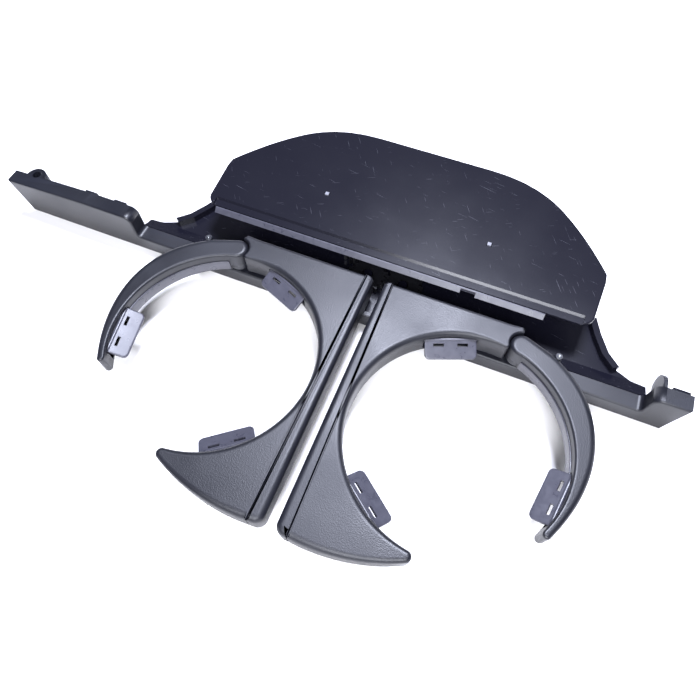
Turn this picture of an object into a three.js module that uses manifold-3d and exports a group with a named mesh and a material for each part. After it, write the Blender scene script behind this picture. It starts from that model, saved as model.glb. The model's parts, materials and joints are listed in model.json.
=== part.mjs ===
import * as THREE from 'three';
import { mergeVertices } from 'three/addons/utils/BufferGeometryUtils.js';
import Module from 'manifold-3d';

// Twin swing-out cup holder of a dashboard, in millimetres.
// X runs along the fascia, Y points back into the dashboard, Z is up.
// X = 0 is the plane between the two arms and Z = 0 is the underside that lies on the table.

// ---- driving dimensions ----
const GAP = 0.3; // air left between parts that touch
const RUN = 0.4; // air left round parts that turn or slide

// fascia
const WING_HEIGHT = 21.3;
const WING_END_DROP = 2.1;
const WING_TAPER = 24;
const LONG_WING = 65.5;
const SHORT_WING = 13;
const FASCIA_WALL = 2.2;
const FASCIA_DEPTH = 6.8;
const FASCIA_CENTRE_Y = -0.1;
const FLANGE = 1.9;
const STEP_TOP_RADIUS = 3.2;
const STEP_FOOT_RADIUS = 1.8;
const END_SLANT = 4.5;
const CHIN = 1.9;

// arms
const RING_RADIUS = 42;
const RING_WEB = 8.6;
const ARM_THICKNESS = 10.3;
const SPINE_X = 2.3;
const SPINE_CAP_BACK = 3.2;
const SPINE_CAP_FRONT = 5.0;
const ARM_FRONT_MARGIN = 11.3;
const ARM_BACK_MARGIN = 10.8;
const ARM_NOSE_BULGE = 33.3;
const ARM_HEEL = 6.3;
const HOOK_RADIUS = 2.1;
const CUSP_RADIUS = 1.2;
const ARM_EDGE = 0.6;
const PIVOT_X = 8;
const PIVOT_SHAFT = 1.6;
const CLIP_RADIUS = 3;
const SPRING_WIRE = 0.28;
const SPRING_TURNS = 3;

const ARM_WALL = 2.3;
const ARM_ROOF = 2.4;
const RING_WALL = 3.4;
const PLATE_THICKNESS = 1.4;

// striker peg and latch
const STRIKER_RADIUS = 1;
const STRIKER_REACH = 33.5;
const STRIKER_OFFSET = 4.9;
const LATCH_TRAVEL = 1.6;

// fingers
const HINGE_OFFSET = 4.62;
const HINGE_ANGLE = 76.1;
const FINGER_CLOSED_BY = 4;
const FINGER_END_RADIUS = 4.9;
const FINGER_ROOT_WIDTH = 10.4;
const FINGER_TIP_WIDTH = 3.2;
const FINGER_TIP_ANGLE = -29;
const FINGER_PIN = 1.3;
const FINGER_ROOM = 7.5;

// grip flaps
const FLAP_WIDTH = 20.4;
const FLAP_LENGTH = 7.8;
const FLAP_THICKNESS = 1.3;
const FLAP_DROOP = 26;
const FLAP_AXIS_DROP = 3.5;
const FLAP_BARREL = 0.9;
const FLAP_POCKET = 5.2;
const FLAP_ANGLES = { back: 112, hook: 232.5 };
const FINGER_FLAP_ANGLE = -10.5;

// housing
const DECK = 2;
const DECK_BACK_DROP = 2.1;
const LID_SIDE_MARGIN = 22.4;
const LID_SIDE_LENGTH = 26.6;
const LID_BACK_MARGIN = 19.4;
const LID_CORNER_CUT = 38.9;
const LID_CORNER_ROUND = 20;
const LID_FRONT_GAP = 7.9;
const LID_THICKNESS = 2.2;
const LID_STEP = 3.6;
const LID_STEP_DEPTH = 0.9;
const LIP_LEFT = 79;
const LIP_RIGHT = 66;
const SNAP_X = 36.7;
const SNAP = 0.8;
const ROOF = 0.9;
const HOUSING_WALL = 1.8;
const RAIL_WIDTH = 2.4;
const TOWER_RADIUS = 2.6;
const SCREW_RADIUS = 1.1;
const SCREW_HEAD = 1.9;
const TUB_HALF = 29;

// gear train
const IDLER_TEETH = 16;
const SECTOR_TEETH = 13;
const PINION_TEETH = 10;
const GEAR_THICKNESS = 2.9;
const DAMPER_RADIUS = 7.2;

// ---- places that follow from them ----
const FRONT_Y = FASCIA_CENTRE_Y - FASCIA_DEPTH / 2;
const INNER_Y = FRONT_Y + FASCIA_WALL;
const FLANGE_Y = FRONT_Y + FASCIA_DEPTH;
const ARM_TOP = WING_HEIGHT;
const ARM_BOTTOM = ARM_TOP - ARM_THICKNESS;
const PIVOT_Y = FRONT_Y - SPINE_X + PIVOT_X;
const STRIP_HEIGHT = ARM_BOTTOM - 1.5;
const ARM_LENGTH = 2 * RING_RADIUS + ARM_FRONT_MARGIN + ARM_BACK_MARGIN;
const ARM_NOSE_RADIUS = RING_RADIUS + ARM_NOSE_BULGE;
const ARM_BACK_Y = PIVOT_Y + ARM_HEEL;
const ARM_FRONT_Y = ARM_BACK_Y - ARM_LENGTH;
const RING_X = RING_RADIUS + RING_WEB;
const RING_Y = ARM_FRONT_Y + RING_RADIUS + ARM_FRONT_MARGIN;
const STOWED_TIP_X = PIVOT_X + PIVOT_Y - ARM_FRONT_Y;
const STEP_X = STOWED_TIP_X + 4.2;
const FASCIA_LEFT = STEP_X + LONG_WING;
const FASCIA_RIGHT = STEP_X + SHORT_WING;
const STRIKER_X = PIVOT_X + STRIKER_REACH;
const STRIKER_Y = PIVOT_Y + STRIKER_OFFSET;
const HINGE_RADIUS = RING_RADIUS + HINGE_OFFSET;
const HINGE_X = RING_X + HINGE_RADIUS * Math.cos(rad(HINGE_ANGLE));
const HINGE_Y = RING_Y + HINGE_RADIUS * Math.sin(rad(HINGE_ANGLE));
const FINGER_BOTTOM = ARM_BOTTOM + GAP;
const TONGUE = ARM_THICKNESS - FINGER_ROOM;
const LID_BOTTOM = ARM_TOP + ROOF;
const LID_HALF = STOWED_TIP_X - LID_SIDE_MARGIN;
const LID_FRONT_Y = ARM_BACK_Y + LID_FRONT_GAP;
const LID_SIDE_Y = LID_FRONT_Y + LID_SIDE_LENGTH;
const LID_BACK_HALF = LID_HALF - LID_CORNER_CUT;
const LID_BACK_Y = HINGE_X + LID_BACK_MARGIN;
const MODULE = 2 * PIVOT_X / IDLER_TEETH;
const IDLER_Y = PIVOT_Y + (SECTOR_TEETH + IDLER_TEETH) * MODULE / 2;
const DECK_TOP = STRIP_HEIGHT - DECK_BACK_DROP;
const GEAR_BOTTOM = DECK_TOP;
const GEAR_FLOOR = GEAR_BOTTOM - RUN;
const RAIL_TOP = ARM_BOTTOM - 0.6;
const REAR_INSET = 1.7;
const BAY_HALF = 2.2 * PIVOT_X;
const TOWER_Y = LID_BACK_Y - REAR_INSET - HOUSING_WALL - TOWER_RADIUS - GAP;
const TOWER_X = [-23, -8, 8, 23];
const TOWER_TOP = (DECK_TOP + LID_BOTTOM) / 2;

// ---- helpers ----
function rad(a) {
  return a * Math.PI / 180;
}

const wasm = await Module();
wasm.setup();

function toManifold(geometry) {
  const plain = geometry.clone();
  plain.deleteAttribute('normal');
  plain.deleteAttribute('uv');
  const merged = mergeVertices(plain, 1e-4);
  return new wasm.Manifold(new wasm.Mesh({
    numProp: 3,
    vertProperties: new Float32Array(merged.attributes.position.array),
    triVerts: new Uint32Array(merged.index.array),
  }));
}

function fromManifold(manifold) {
  const mesh = manifold.getMesh();
  const geometry = new THREE.BufferGeometry();
  const positions = new Float32Array(mesh.vertProperties);
  geometry.setAttribute('position', new THREE.BufferAttribute(positions, 3));
  geometry.setIndex(new THREE.BufferAttribute(new Uint32Array(mesh.triVerts), 1));
  return geometry;
}

function join(...geometries) {
  return fromManifold(geometries.map(toManifold).reduce((a, b) => a.add(b)));
}

function cut(geometry, ...tools) {
  return fromManifold(tools.map(toManifold).reduce((a, b) => a.subtract(b), toManifold(geometry)));
}

function common(a, b) {
  return fromManifold(toManifold(a).intersect(toManifold(b)));
}

function mirrored(geometry) {
  const copy = geometry.index ? geometry.clone() : mergeVertices(geometry.clone(), 1e-4);
  copy.scale(-1, 1, 1);
  const index = copy.index.array;
  for (let i = 0; i < index.length; i += 3) {
    const second = index[i + 1];
    index[i + 1] = index[i + 2];
    index[i + 2] = second;
  }
  return copy;
}

function slab(points, z0, z1, edge = 0) {
  const shape = new THREE.Shape(points.map(([x, y]) => new THREE.Vector2(x, y)));
  return slabOf(shape, z0, z1, edge);
}

function slabOf(shape, z0, z1, edge = 0, segments = 8) {
  const geometry = new THREE.ExtrudeGeometry(shape, {
    depth: z1 - z0 - 2 * edge,
    steps: 1,
    curveSegments: segments,
    bevelEnabled: edge > 0,
    bevelSize: edge,
    bevelThickness: edge,
    bevelOffset: -edge,
    bevelSegments: 1,
  });
  return geometry.translate(0, 0, z0 + edge);
}

function box(x0, x1, y0, y1, z0, z1) {
  const geometry = new THREE.BoxGeometry(x1 - x0, y1 - y0, z1 - z0);
  return geometry.translate((x0 + x1) / 2, (y0 + y1) / 2, (z0 + z1) / 2);
}

function rod(x, y, z0, z1, r, segments = 20) {
  const geometry = new THREE.CylinderGeometry(r, r, z1 - z0, segments);
  return geometry.rotateX(Math.PI / 2).translate(x, y, (z0 + z1) / 2);
}

function arc(cx, cy, r, from, to, steps) {
  const points = [];
  for (let i = 0; i <= steps; i++) {
    const a = rad(from + (to - from) * i / steps);
    points.push([cx + r * Math.cos(a), cy + r * Math.sin(a)]);
  }
  return points;
}

function crossing(a, ra, b, rb, side) {
  // one of the two points at distance ra from a and rb from b
  const dx = b[0] - a[0];
  const dy = b[1] - a[1];
  const d = Math.hypot(dx, dy);
  const along = (d * d + ra * ra - rb * rb) / (2 * d);
  const off = side * Math.sqrt(ra * ra - along * along);
  return [a[0] + (dx * along - dy * off) / d, a[1] + (dy * along + dx * off) / d];
}

function heading(from, to) {
  return Math.atan2(to[1] - from[1], to[0] - from[0]) * 180 / Math.PI;
}

function turned(point, about, angle) {
  const c = Math.cos(rad(angle));
  const s = Math.sin(rad(angle));
  const x = point[0] - about[0];
  const y = point[1] - about[1];
  return [about[0] + x * c - y * s, about[1] + x * s + y * c];
}

function profileAlongX(points, x0, x1) {
  // points are [y, z]; the profile is drawn in the plane and swept along X
  const shape = new THREE.Shape(points.map(([y, z]) => new THREE.Vector2(y, z)));
  const geometry = new THREE.ExtrudeGeometry(shape, { depth: x1 - x0, steps: 1, bevelEnabled: false });
  const turn = new THREE.Matrix4().set(0, 0, 1, x0, 1, 0, 0, 0, 0, 1, 0, 0, 0, 0, 0, 1);
  return geometry.applyMatrix4(turn);
}

function profileAlongY(points, y0, y1) {
  // points are [x, z]
  const shape = new THREE.Shape(points.map(([x, z]) => new THREE.Vector2(x, z)));
  const geometry = new THREE.ExtrudeGeometry(shape, { depth: y1 - y0, steps: 1, bevelEnabled: false });
  const turn = new THREE.Matrix4().set(1, 0, 0, 0, 0, 0, -1, y1, 0, 1, 0, 0, 0, 0, 0, 1);
  return geometry.applyMatrix4(turn);
}

class Helix extends THREE.Curve {
  constructor(x, y, z, radius, pitch, turns) {
    super();
    Object.assign(this, { x, y, z, radius, pitch, turns });
  }

  getPoint(t, target = new THREE.Vector3()) {
    const a = 2 * Math.PI * this.turns * t;
    return target.set(
      this.x + this.radius * Math.cos(a),
      this.y + this.radius * Math.sin(a),
      this.z + this.pitch * this.turns * t,
    );
  }
}

function coil(x, y, z, radius, pitch) {
  const corners = arc(0, 0, SPRING_WIRE, 0, 300, 5).map(([a, b]) => new THREE.Vector2(a, b));
  const path = new Helix(x, y, z, radius, pitch, SPRING_TURNS);
  return new THREE.ExtrudeGeometry(new THREE.Shape(corners), { steps: 14 * SPRING_TURNS, extrudePath: path });
}

// ---- parts list ----
const group = new THREE.Group();
group.name = 'swing_out_cup_holder';

const FINISH = {
  grained: { color: 0x1b1b1d, roughness: 0.62, metalness: 0 },
  satin: { color: 0x17181d, roughness: 0.4, metalness: 0 },
  smooth: { color: 0x202126, roughness: 0.35, metalness: 0 },
  flap: { color: 0x3a3b3f, roughness: 0.45, metalness: 0 },
  gear: { color: 0x141416, roughness: 0.5, metalness: 0 },
  snap: { color: 0xb9bac0, roughness: 0.4, metalness: 0 },
  steel: { color: 0x9a9ca0, roughness: 0.35, metalness: 1 },
  wire: { color: 0x77797d, roughness: 0.3, metalness: 1 },
  damper: { color: 0x2a2b2e, roughness: 0.5, metalness: 0 },
};

function add(name, geometry, finish) {
  const mesh = new THREE.Mesh(geometry, new THREE.MeshStandardMaterial(FINISH[finish]));
  mesh.name = name;
  group.add(mesh);
}

function addPair(name, geometry, finish) {
  add(`left_${name}`, mirrored(geometry), finish);
  add(`right_${name}`, geometry, finish);
}

const LEFT_CLIP = 41 - FASCIA_LEFT;

// ---- fascia: front wall, top flange that follows the wings, chin and foot ----
function topLine(offset) {
  // outline of the upper edge from the left end to the right end, as [x, z], lowered by offset
  const step = STEP_X + offset;
  const top = WING_HEIGHT - offset;
  const low = STRIP_HEIGHT - offset;
  const rTop = STEP_TOP_RADIUS;
  const rFoot = STEP_FOOT_RADIUS + offset;
  return [
    [-FASCIA_LEFT, top - WING_END_DROP],
    [-STEP_X - WING_TAPER, top],
    ...arc(-step - rTop, top - rTop, rTop, 90, 0, 6),
    ...arc(-step + rFoot, low + rFoot, rFoot, 180, 270, 5),
    ...arc(step - rFoot, low + rFoot, rFoot, 270, 360, 5),
    ...arc(step + rTop, top - rTop, rTop, 180, 90, 6),
    [FASCIA_RIGHT, top],
  ];
}

function fasciaGeometry() {
  const face = [
    ...topLine(0),
    [FASCIA_RIGHT - END_SLANT / 2, 0],
    [-FASCIA_LEFT + END_SLANT, 0],
  ].reverse();
  const wall = profileAlongY(face, FRONT_Y, INNER_Y);
  const band = profileAlongY([...topLine(0), ...topLine(FLANGE).reverse()].reverse(), FRONT_Y, FLANGE_Y);
  const foot = box(-FASCIA_LEFT + END_SLANT, FASCIA_RIGHT - END_SLANT / 2, FRONT_Y + 1, FLANGE_Y, 0, CHIN);
  const chin = profileAlongX(
    [[FRONT_Y - 1, -1], [FRONT_Y + 1.2, -1], [FRONT_Y + 1.2, 0], [FRONT_Y, CHIN], [FRONT_Y - 1, CHIN]],
    -FASCIA_LEFT - 5,
    FASCIA_RIGHT + 5,
  );
  const bay = box(-BAY_HALF, BAY_HALF, INNER_Y, FLANGE_Y + 1, CHIN, STRIP_HEIGHT + 1);
  const lugX = 11 - FASCIA_LEFT;
  const lug = rod(lugX, FLANGE_Y, WING_HEIGHT - 9, WING_HEIGHT - 1.6, 4.6, 24);
  const clipTop = WING_HEIGHT - 0.9;
  const clips = [LEFT_CLIP, LEFT_CLIP + 15].map((x) =>
    box(x - 3, x + 3, FLANGE_Y - 1, FLANGE_Y + 1.3, clipTop - 2.8, clipTop));
  const blockX = FASCIA_RIGHT - 4.3;
  const block = box(blockX - 3.1, blockX + 3.1, FLANGE_Y - 1, FLANGE_Y + 1.4, clipTop - 3, clipTop + 0.2);
  const finZ = STRIP_HEIGHT + 4.1;
  const fin = profileAlongX(
    [[FLANGE_Y - 1, finZ - 4.6], ...arc(FLANGE_Y + 3.2, finZ, 5.4, -60, 90, 10), [FLANGE_Y - 1, finZ + 5.4]],
    STEP_X + 2.6,
    STEP_X + 4.2,
  );
  const ribs = [12.5, 29.5, 46.5].map((fromEnd) => {
    const x = fromEnd - FASCIA_LEFT;
    return box(x - 0.8, x + 0.8, INNER_Y - 0.5, FLANGE_Y, 1, WING_HEIGHT - 3.3);
  });
  const solid = join(wall, band, foot, lug, ...clips, block, fin, ...ribs);
  const access = [1, -1].map((s) => rod(s * PIVOT_X, PIVOT_Y, -1, CHIN + 1, CLIP_RADIUS + RUN, 20));
  return cut(solid, chin, bay, ...access, rod(lugX, FLANGE_Y + 0.8, 0, WING_HEIGHT + 5, 1.9, 16));
}

add('fascia', fasciaGeometry(), 'grained');

// ---- housing base: deck, gear floor, side rails and the rear wall ----
function rearPoints(inset) {
  // right half of the rear outline: short side, bulged slant, rounded corner, back edge
  const side = [LID_HALF - inset, LID_SIDE_Y - inset * 0.1];
  const corner = [LID_BACK_HALF - inset * 0.42, LID_BACK_Y - inset];
  const bulge = 1.85;
  const slant = [];
  for (let i = 1; i < 7; i++) {
    const t = i / 9;
    const push = bulge * Math.sin(Math.PI * t);
    slant.push([side[0] + (corner[0] - side[0]) * t + push, side[1] + (corner[1] - side[1]) * t + push]);
  }
  const from = slant[slant.length - 1];
  const middle = [corner[0] + 1, corner[1]];
  const to = [corner[0] - LID_CORNER_ROUND, corner[1]];
  const rounding = [1, 2, 3, 4, 5].map((i) => {
    const t = i / 5;
    const weights = [(1 - t) ** 2, 2 * t * (1 - t), t ** 2];
    return [0, 1].map((axis) => weights[0] * from[axis] + weights[1] * middle[axis] + weights[2] * to[axis]);
  });
  return [[side[0], side[1] - 4], [side[0] - 0.3, side[1]], ...slant, ...rounding];
}

function bothSides(rightPoints) {
  const left = rightPoints.map(([x, y]) => [-x, y]).reverse();
  return [...rightPoints, ...left];
}

function flarePoints() {
  // concave edge between the rear of the housing and the fascia wing
  const foot = STEP_X + 1;
  return [
    [foot, FLANGE_Y + GAP],
    [foot, FLANGE_Y + 5.6],
    [foot - 6, FLANGE_Y + 6.2],
    [foot - 12, FLANGE_Y + 8.8],
    [foot - 17, FLANGE_Y + 13.6],
    [foot - 21.4, FLANGE_Y + 21.2],
    [foot - 24.6, FLANGE_Y + 28.4],
  ];
}

function deckGeometry() {
  const centre = BAY_HALF - GAP;
  const plan = bothSides([
    [centre, INNER_Y + GAP],
    [centre, FLANGE_Y + GAP],
    ...flarePoints(),
    ...rearPoints(0.9),
  ]);
  const planSolid = slab(plan, -1, WING_HEIGHT);
  const slopeEnd = FLANGE_Y + 6;
  const side = profileAlongX([
    [INNER_Y, STRIP_HEIGHT - DECK],
    [FLANGE_Y, STRIP_HEIGHT - DECK],
    [slopeEnd, DECK_TOP - DECK],
    [LID_BACK_Y + 2, DECK_TOP - DECK],
    [LID_BACK_Y + 2, DECK_TOP],
    [slopeEnd, DECK_TOP],
    [FLANGE_Y, STRIP_HEIGHT],
    [INNER_Y, STRIP_HEIGHT],
  ], -STEP_X - 28, STEP_X + 28);
  return common(planSolid, side);
}

function railPoints(inner) {
  return flarePoints().slice(3).map(([x, y]) => [x - inner, y - inner * 0.55]);
}

function baseGeometry() {
  const deck = deckGeometry();
  const tubBack = IDLER_Y + 26;
  const outer = TUB_HALF + 1.5;
  const bay = BAY_HALF - GAP;
  const floorZ = GEAR_FLOOR - DECK;
  const tubFloor = box(-outer, outer, FLANGE_Y + GAP, tubBack + 1.5, floorZ, GEAR_FLOOR + 0.2);
  const nose = box(-bay, bay, INNER_Y + GAP, FLANGE_Y + 2, floorZ, GEAR_FLOOR);
  const tub = box(-TUB_HALF, TUB_HALF, INNER_Y - 1, tubBack, GEAR_FLOOR, WING_HEIGHT);
  const rails = [1, -1].map((s) => {
    const outline = [...railPoints(0), ...railPoints(RAIL_WIDTH).reverse()];
    const rail = slab(outline, DECK_TOP - DECK, RAIL_TOP);
    return s > 0 ? rail : mirrored(rail);
  });
  const back = LID_BACK_Y - REAR_INSET;
  const wallHalf = LID_BACK_HALF - LID_CORNER_ROUND + 4;
  const wall = box(-wallHalf, wallHalf, back - HOUSING_WALL, back, 0, LID_BOTTOM - GAP);
  const towers = TOWER_X.map((x) => rod(x, TOWER_Y, DECK_TOP - DECK, TOWER_TOP, TOWER_RADIUS, 20));
  const postTop = GEAR_BOTTOM + GEAR_THICKNESS;
  const posts = [1, -1].map((s) => rod(s * PIVOT_X, IDLER_Y, GEAR_FLOOR - 1, postTop, 2, 16));
  const solid = join(cut(join(deck, tubFloor, nose), tub), ...rails, wall, ...towers, ...posts);
  const shaftHoles = [1, -1].map((s) => rod(s * PIVOT_X, PIVOT_Y, -1, GEAR_FLOOR + 1, PIVOT_SHAFT + RUN, 20));
  const damperHole = rod(damperX(), damperY(), -1, GEAR_FLOOR + 1, 1.9, 16);
  const screwHoles = damperEars().map(([x, y]) => rod(x, y, -1, GEAR_FLOOR + 1, 1.1, 12));
  const towerHoles = TOWER_X.flatMap((x) => [
    rod(x, TOWER_Y, 0, TOWER_TOP + 1, SCREW_RADIUS + GAP, 14),
    rod(x, TOWER_Y, 0, DECK_TOP, SCREW_HEAD + GAP, 16),
  ]);
  return cut(solid, ...shaftHoles, damperHole, ...screwHoles, ...towerHoles);
}

function lidScrewGeometry(x) {
  const head = rod(x, TOWER_Y, DECK_TOP - GAP - 1.3, DECK_TOP - GAP, SCREW_HEAD, 16);
  return join(head, rod(x, TOWER_Y, DECK_TOP - 1, LID_BOTTOM - 2.4, SCREW_RADIUS, 12));
}

function damperX() {
  return -PIVOT_X - (IDLER_TEETH + PINION_TEETH) * MODULE / 2 * Math.SQRT1_2;
}

function damperY() {
  return IDLER_Y + (IDLER_TEETH + PINION_TEETH) * MODULE / 2 * Math.SQRT1_2;
}

function damperEars() {
  const reach = (DAMPER_RADIUS + 2.2) * Math.SQRT1_2;
  return [[damperX() - reach, damperY() + reach], [damperX() + reach, damperY() - reach]];
}

add('housing_base', baseGeometry(), 'smooth');
TOWER_X.forEach((x, i) => add(`lid_screw_${i + 1}`, lidScrewGeometry(x), 'steel'));

// ---- lid with its stepped front edge ----
function lidPoints() {
  const corner = 5;
  const front = arc(LID_HALF - 1.2 - corner, LID_FRONT_Y + corner, corner, -90, 0, 6);
  return bothSides([...front, ...rearPoints(0)]);
}

const LID_TOP = LID_BOTTOM + LID_THICKNESS;
const SNAP_Y = LID_FRONT_Y + 23.5;

function snapBox(x, reach, z0, z1) {
  return box(x - reach, x + reach, SNAP_Y - reach, SNAP_Y + reach, z0, z1);
}

function lidGeometry() {
  const plate = slab(lidPoints(), LID_BOTTOM, LID_TOP, 0.35);
  const stepHalf = LID_HALF - 4.9;
  const step = profileAlongX([
    [LID_FRONT_Y - 3, LID_TOP - LID_STEP_DEPTH],
    [LID_FRONT_Y + LID_STEP - 0.4, LID_TOP - LID_STEP_DEPTH],
    [LID_FRONT_Y + LID_STEP + 0.4, LID_TOP],
    [LID_FRONT_Y + LID_STEP + 0.4, LID_TOP + 1],
    [LID_FRONT_Y - 3, LID_TOP + 1],
  ], -stepHalf, stepHalf);
  const windows = [1, -1].map((s) => snapBox(s * SNAP_X, SNAP + GAP, LID_BOTTOM - 1, LID_TOP + 1));
  const bosses = TOWER_X.map((x) => rod(x, TOWER_Y, TOWER_TOP + GAP, LID_BOTTOM + 0.5, TOWER_RADIUS, 20));
  const pilots = TOWER_X.map((x) => rod(x, TOWER_Y, TOWER_TOP, LID_BOTTOM - 2, SCREW_RADIUS + GAP, 14));
  return cut(join(cut(plate, step, ...windows), ...bosses), ...pilots);
}

add('lid', lidGeometry(), 'satin');

function lipGeometry() {
  const foot = LID_BOTTOM - 0.6;
  const crest = LID_BOTTOM + 1.1;
  const back = LID_FRONT_Y - GAP;
  const section = [[back - 2.1, foot], [back, foot], [back, crest], [back - 0.5, crest]];
  const strip = profileAlongX(section, -LIP_LEFT, LIP_RIGHT);
  const notch = box(LIP_RIGHT - 34, LIP_RIGHT - 27.8, back - 3, back - 0.7, foot - 1, crest + 1);
  return cut(strip, notch);
}

add('lid_front_lip', lipGeometry(), 'satin');

function snapGeometry() {
  return snapBox(SNAP_X, SNAP, LID_BOTTOM - 0.5, LID_TOP + 0.3);
}

addPair('lid_snap', snapGeometry(), 'snap');

// ---- arm: spine cap, body, underside plate ----
const NOSE_X = 13;
const NOSE_Y = ARM_FRONT_Y + ARM_NOSE_RADIUS;

function noseY(x) {
  return NOSE_Y - Math.sqrt(ARM_NOSE_RADIUS ** 2 - (x - NOSE_X) ** 2);
}

function seamX(y) {
  const t = (ARM_BACK_Y - y) / ARM_LENGTH;
  return SPINE_X + SPINE_CAP_BACK + (SPINE_CAP_FRONT - SPINE_CAP_BACK) * t;
}

function armOutline() {
  const front = [];
  const noseStart = seamX(ARM_FRONT_Y) + GAP / 2;
  const ringCentre = [RING_X, RING_Y];
  const noseCentre = [NOSE_X, NOSE_Y];
  const hinge = [HINGE_X, HINGE_Y];
  const clear = FINGER_END_RADIUS + RUN;
  const hook = crossing(ringCentre, RING_RADIUS + HOOK_RADIUS, noseCentre, ARM_NOSE_RADIUS - HOOK_RADIUS, 1);
  const cusp = crossing(ringCentre, RING_RADIUS + CUSP_RADIUS, hinge, clear + CUSP_RADIUS, 1);
  const hookFrom = heading(noseCentre, hook);
  const hookTo = heading(hook, ringCentre);
  const cuspFrom = heading(cusp, ringCentre);
  const cuspTo = heading(cusp, hinge);
  const noseEnd = hook[0] + HOOK_RADIUS * Math.cos(rad(hookFrom));
  for (let i = 0; i < 12; i++) {
    const x = noseStart + (noseEnd - noseStart) * i / 12;
    front.push([x, noseY(x)]);
  }
  const tip = arc(...hook, HOOK_RADIUS, hookFrom, hookTo, 6);
  const ring = arc(RING_X, RING_Y, RING_RADIUS, hookTo + 180, cuspFrom + 180, 44).slice(1, -1);
  const edge = arc(...cusp, CUSP_RADIUS, cuspFrom, cuspTo, 4);
  const knuckle = arc(...hinge, clear, cuspTo + 180, 100, 9).slice(1);
  return [
    ...front,
    ...tip,
    ...ring,
    ...edge,
    ...knuckle,
    [HINGE_X - 0.17 * clear, ARM_BACK_Y - 1.3],
    [HINGE_X - 1.9, ARM_BACK_Y],
    [seamX(ARM_BACK_Y) + GAP / 2, ARM_BACK_Y],
  ];
}

// the hollow in the underside follows the outline; the web beside the ring parts it in two
function hollowGeometry(inset, part, z0, z1) {
  const x0 = seamX(ARM_FRONT_Y) + ARM_WALL + inset;
  const [y0, y1] = part === 'rear' ? [RING_Y, ARM_BACK_Y - ARM_WALL - inset] : [ARM_FRONT_Y, RING_Y];
  const block = box(x0, HINGE_X, y0, y1, z0, z1);
  const nose = rod(NOSE_X, NOSE_Y, z0 - 1, z1 + 1, ARM_NOSE_RADIUS - ARM_WALL - inset, 120);
  const keepOut = [
    rod(RING_X, RING_Y, z0 - 1, z1 + 1, RING_RADIUS + RING_WALL + inset, 72),
    rod(HINGE_X, HINGE_Y, z0 - 1, z1 + 1, FINGER_END_RADIUS + RUN + ARM_WALL + inset, 32),
    rod(PIVOT_X, PIVOT_Y, z0 - 1, z1 + 1, PIVOT_SHAFT + ARM_WALL + 1 + inset, 32),
    rod(STRIKER_X, STRIKER_Y, z0 - 1, z1 + 1, STRIKER_RADIUS + ARM_WALL + inset, 24),
  ];
  return cut(common(block, nose), ...keepOut);
}

const PLATE_SCREWS = {
  rear: [PIVOT_X + 10.5, ARM_BACK_Y - 9.5],
  front: [PIVOT_X + 9.5, ARM_FRONT_Y + 11.5],
};

function flapFrame(angle, centre) {
  const c = Math.cos(rad(angle));
  const s = Math.sin(rad(angle));
  return { centre, out: [c, s], along: [-s, c], angle };
}

const AXIS_RADIUS = RING_RADIUS - 0.4;
const FLAP_AXIS_Z = ARM_TOP - FLAP_AXIS_DROP;

function inFlapFrame(geometry, frame, lift = FLAP_AXIS_Z) {
  // local x points inwards from the hinge line, y runs along it
  geometry.rotateZ(rad(frame.angle + 180));
  return geometry.translate(
    frame.centre[0] + AXIS_RADIUS * frame.out[0],
    frame.centre[1] + AXIS_RADIUS * frame.out[1],
    lift,
  );
}

function flapPocket(frame) {
  const half = FLAP_WIDTH / 2 + GAP;
  const pocket = box(-FLAP_BARREL - GAP, 6, -half, half, -FLAP_POCKET, FLAP_BARREL + GAP);
  const pinHole = new THREE.CylinderGeometry(0.85, 0.85, FLAP_WIDTH + 3.4, 8);
  return [inFlapFrame(pocket, frame), inFlapFrame(pinHole, frame)];
}

function flapGeometry(frame) {
  const half = FLAP_WIDTH / 2;
  const plan = new THREE.Shape();
  plan.moveTo(0, -half);
  plan.lineTo(FLAP_LENGTH - 2, -half);
  plan.absarc(FLAP_LENGTH - 2, -half + 2, 2, -Math.PI / 2, 0, false);
  plan.lineTo(FLAP_LENGTH, half - 2);
  plan.absarc(FLAP_LENGTH - 2, half - 2, 2, 0, Math.PI / 2, false);
  plan.lineTo(0, half);
  for (const y of [-4.7, 4.7]) {
    const slot = new THREE.Path();
    slot.moveTo(1.5, y - 2.1);
    slot.lineTo(1.5, y + 2.1);
    slot.lineTo(2.7, y + 2.1);
    slot.lineTo(2.7, y - 2.1);
    plan.holes.push(slot);
  }
  const plate = slabOf(plan, -FLAP_THICKNESS / 2, FLAP_THICKNESS / 2, 0, 4);
  plate.rotateY(rad(FLAP_DROOP));
  const barrel = new THREE.CylinderGeometry(FLAP_BARREL, FLAP_BARREL, FLAP_WIDTH, 12);
  const trunnion = new THREE.CylinderGeometry(0.5, 0.5, FLAP_WIDTH + 2.6, 8);
  return inFlapFrame(join(plate, barrel, trunnion), frame);
}

const BODY_FLAPS = Object.entries(FLAP_ANGLES).map(([name, angle]) => {
  return [name, flapFrame(angle, [RING_X, RING_Y])];
});

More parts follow.
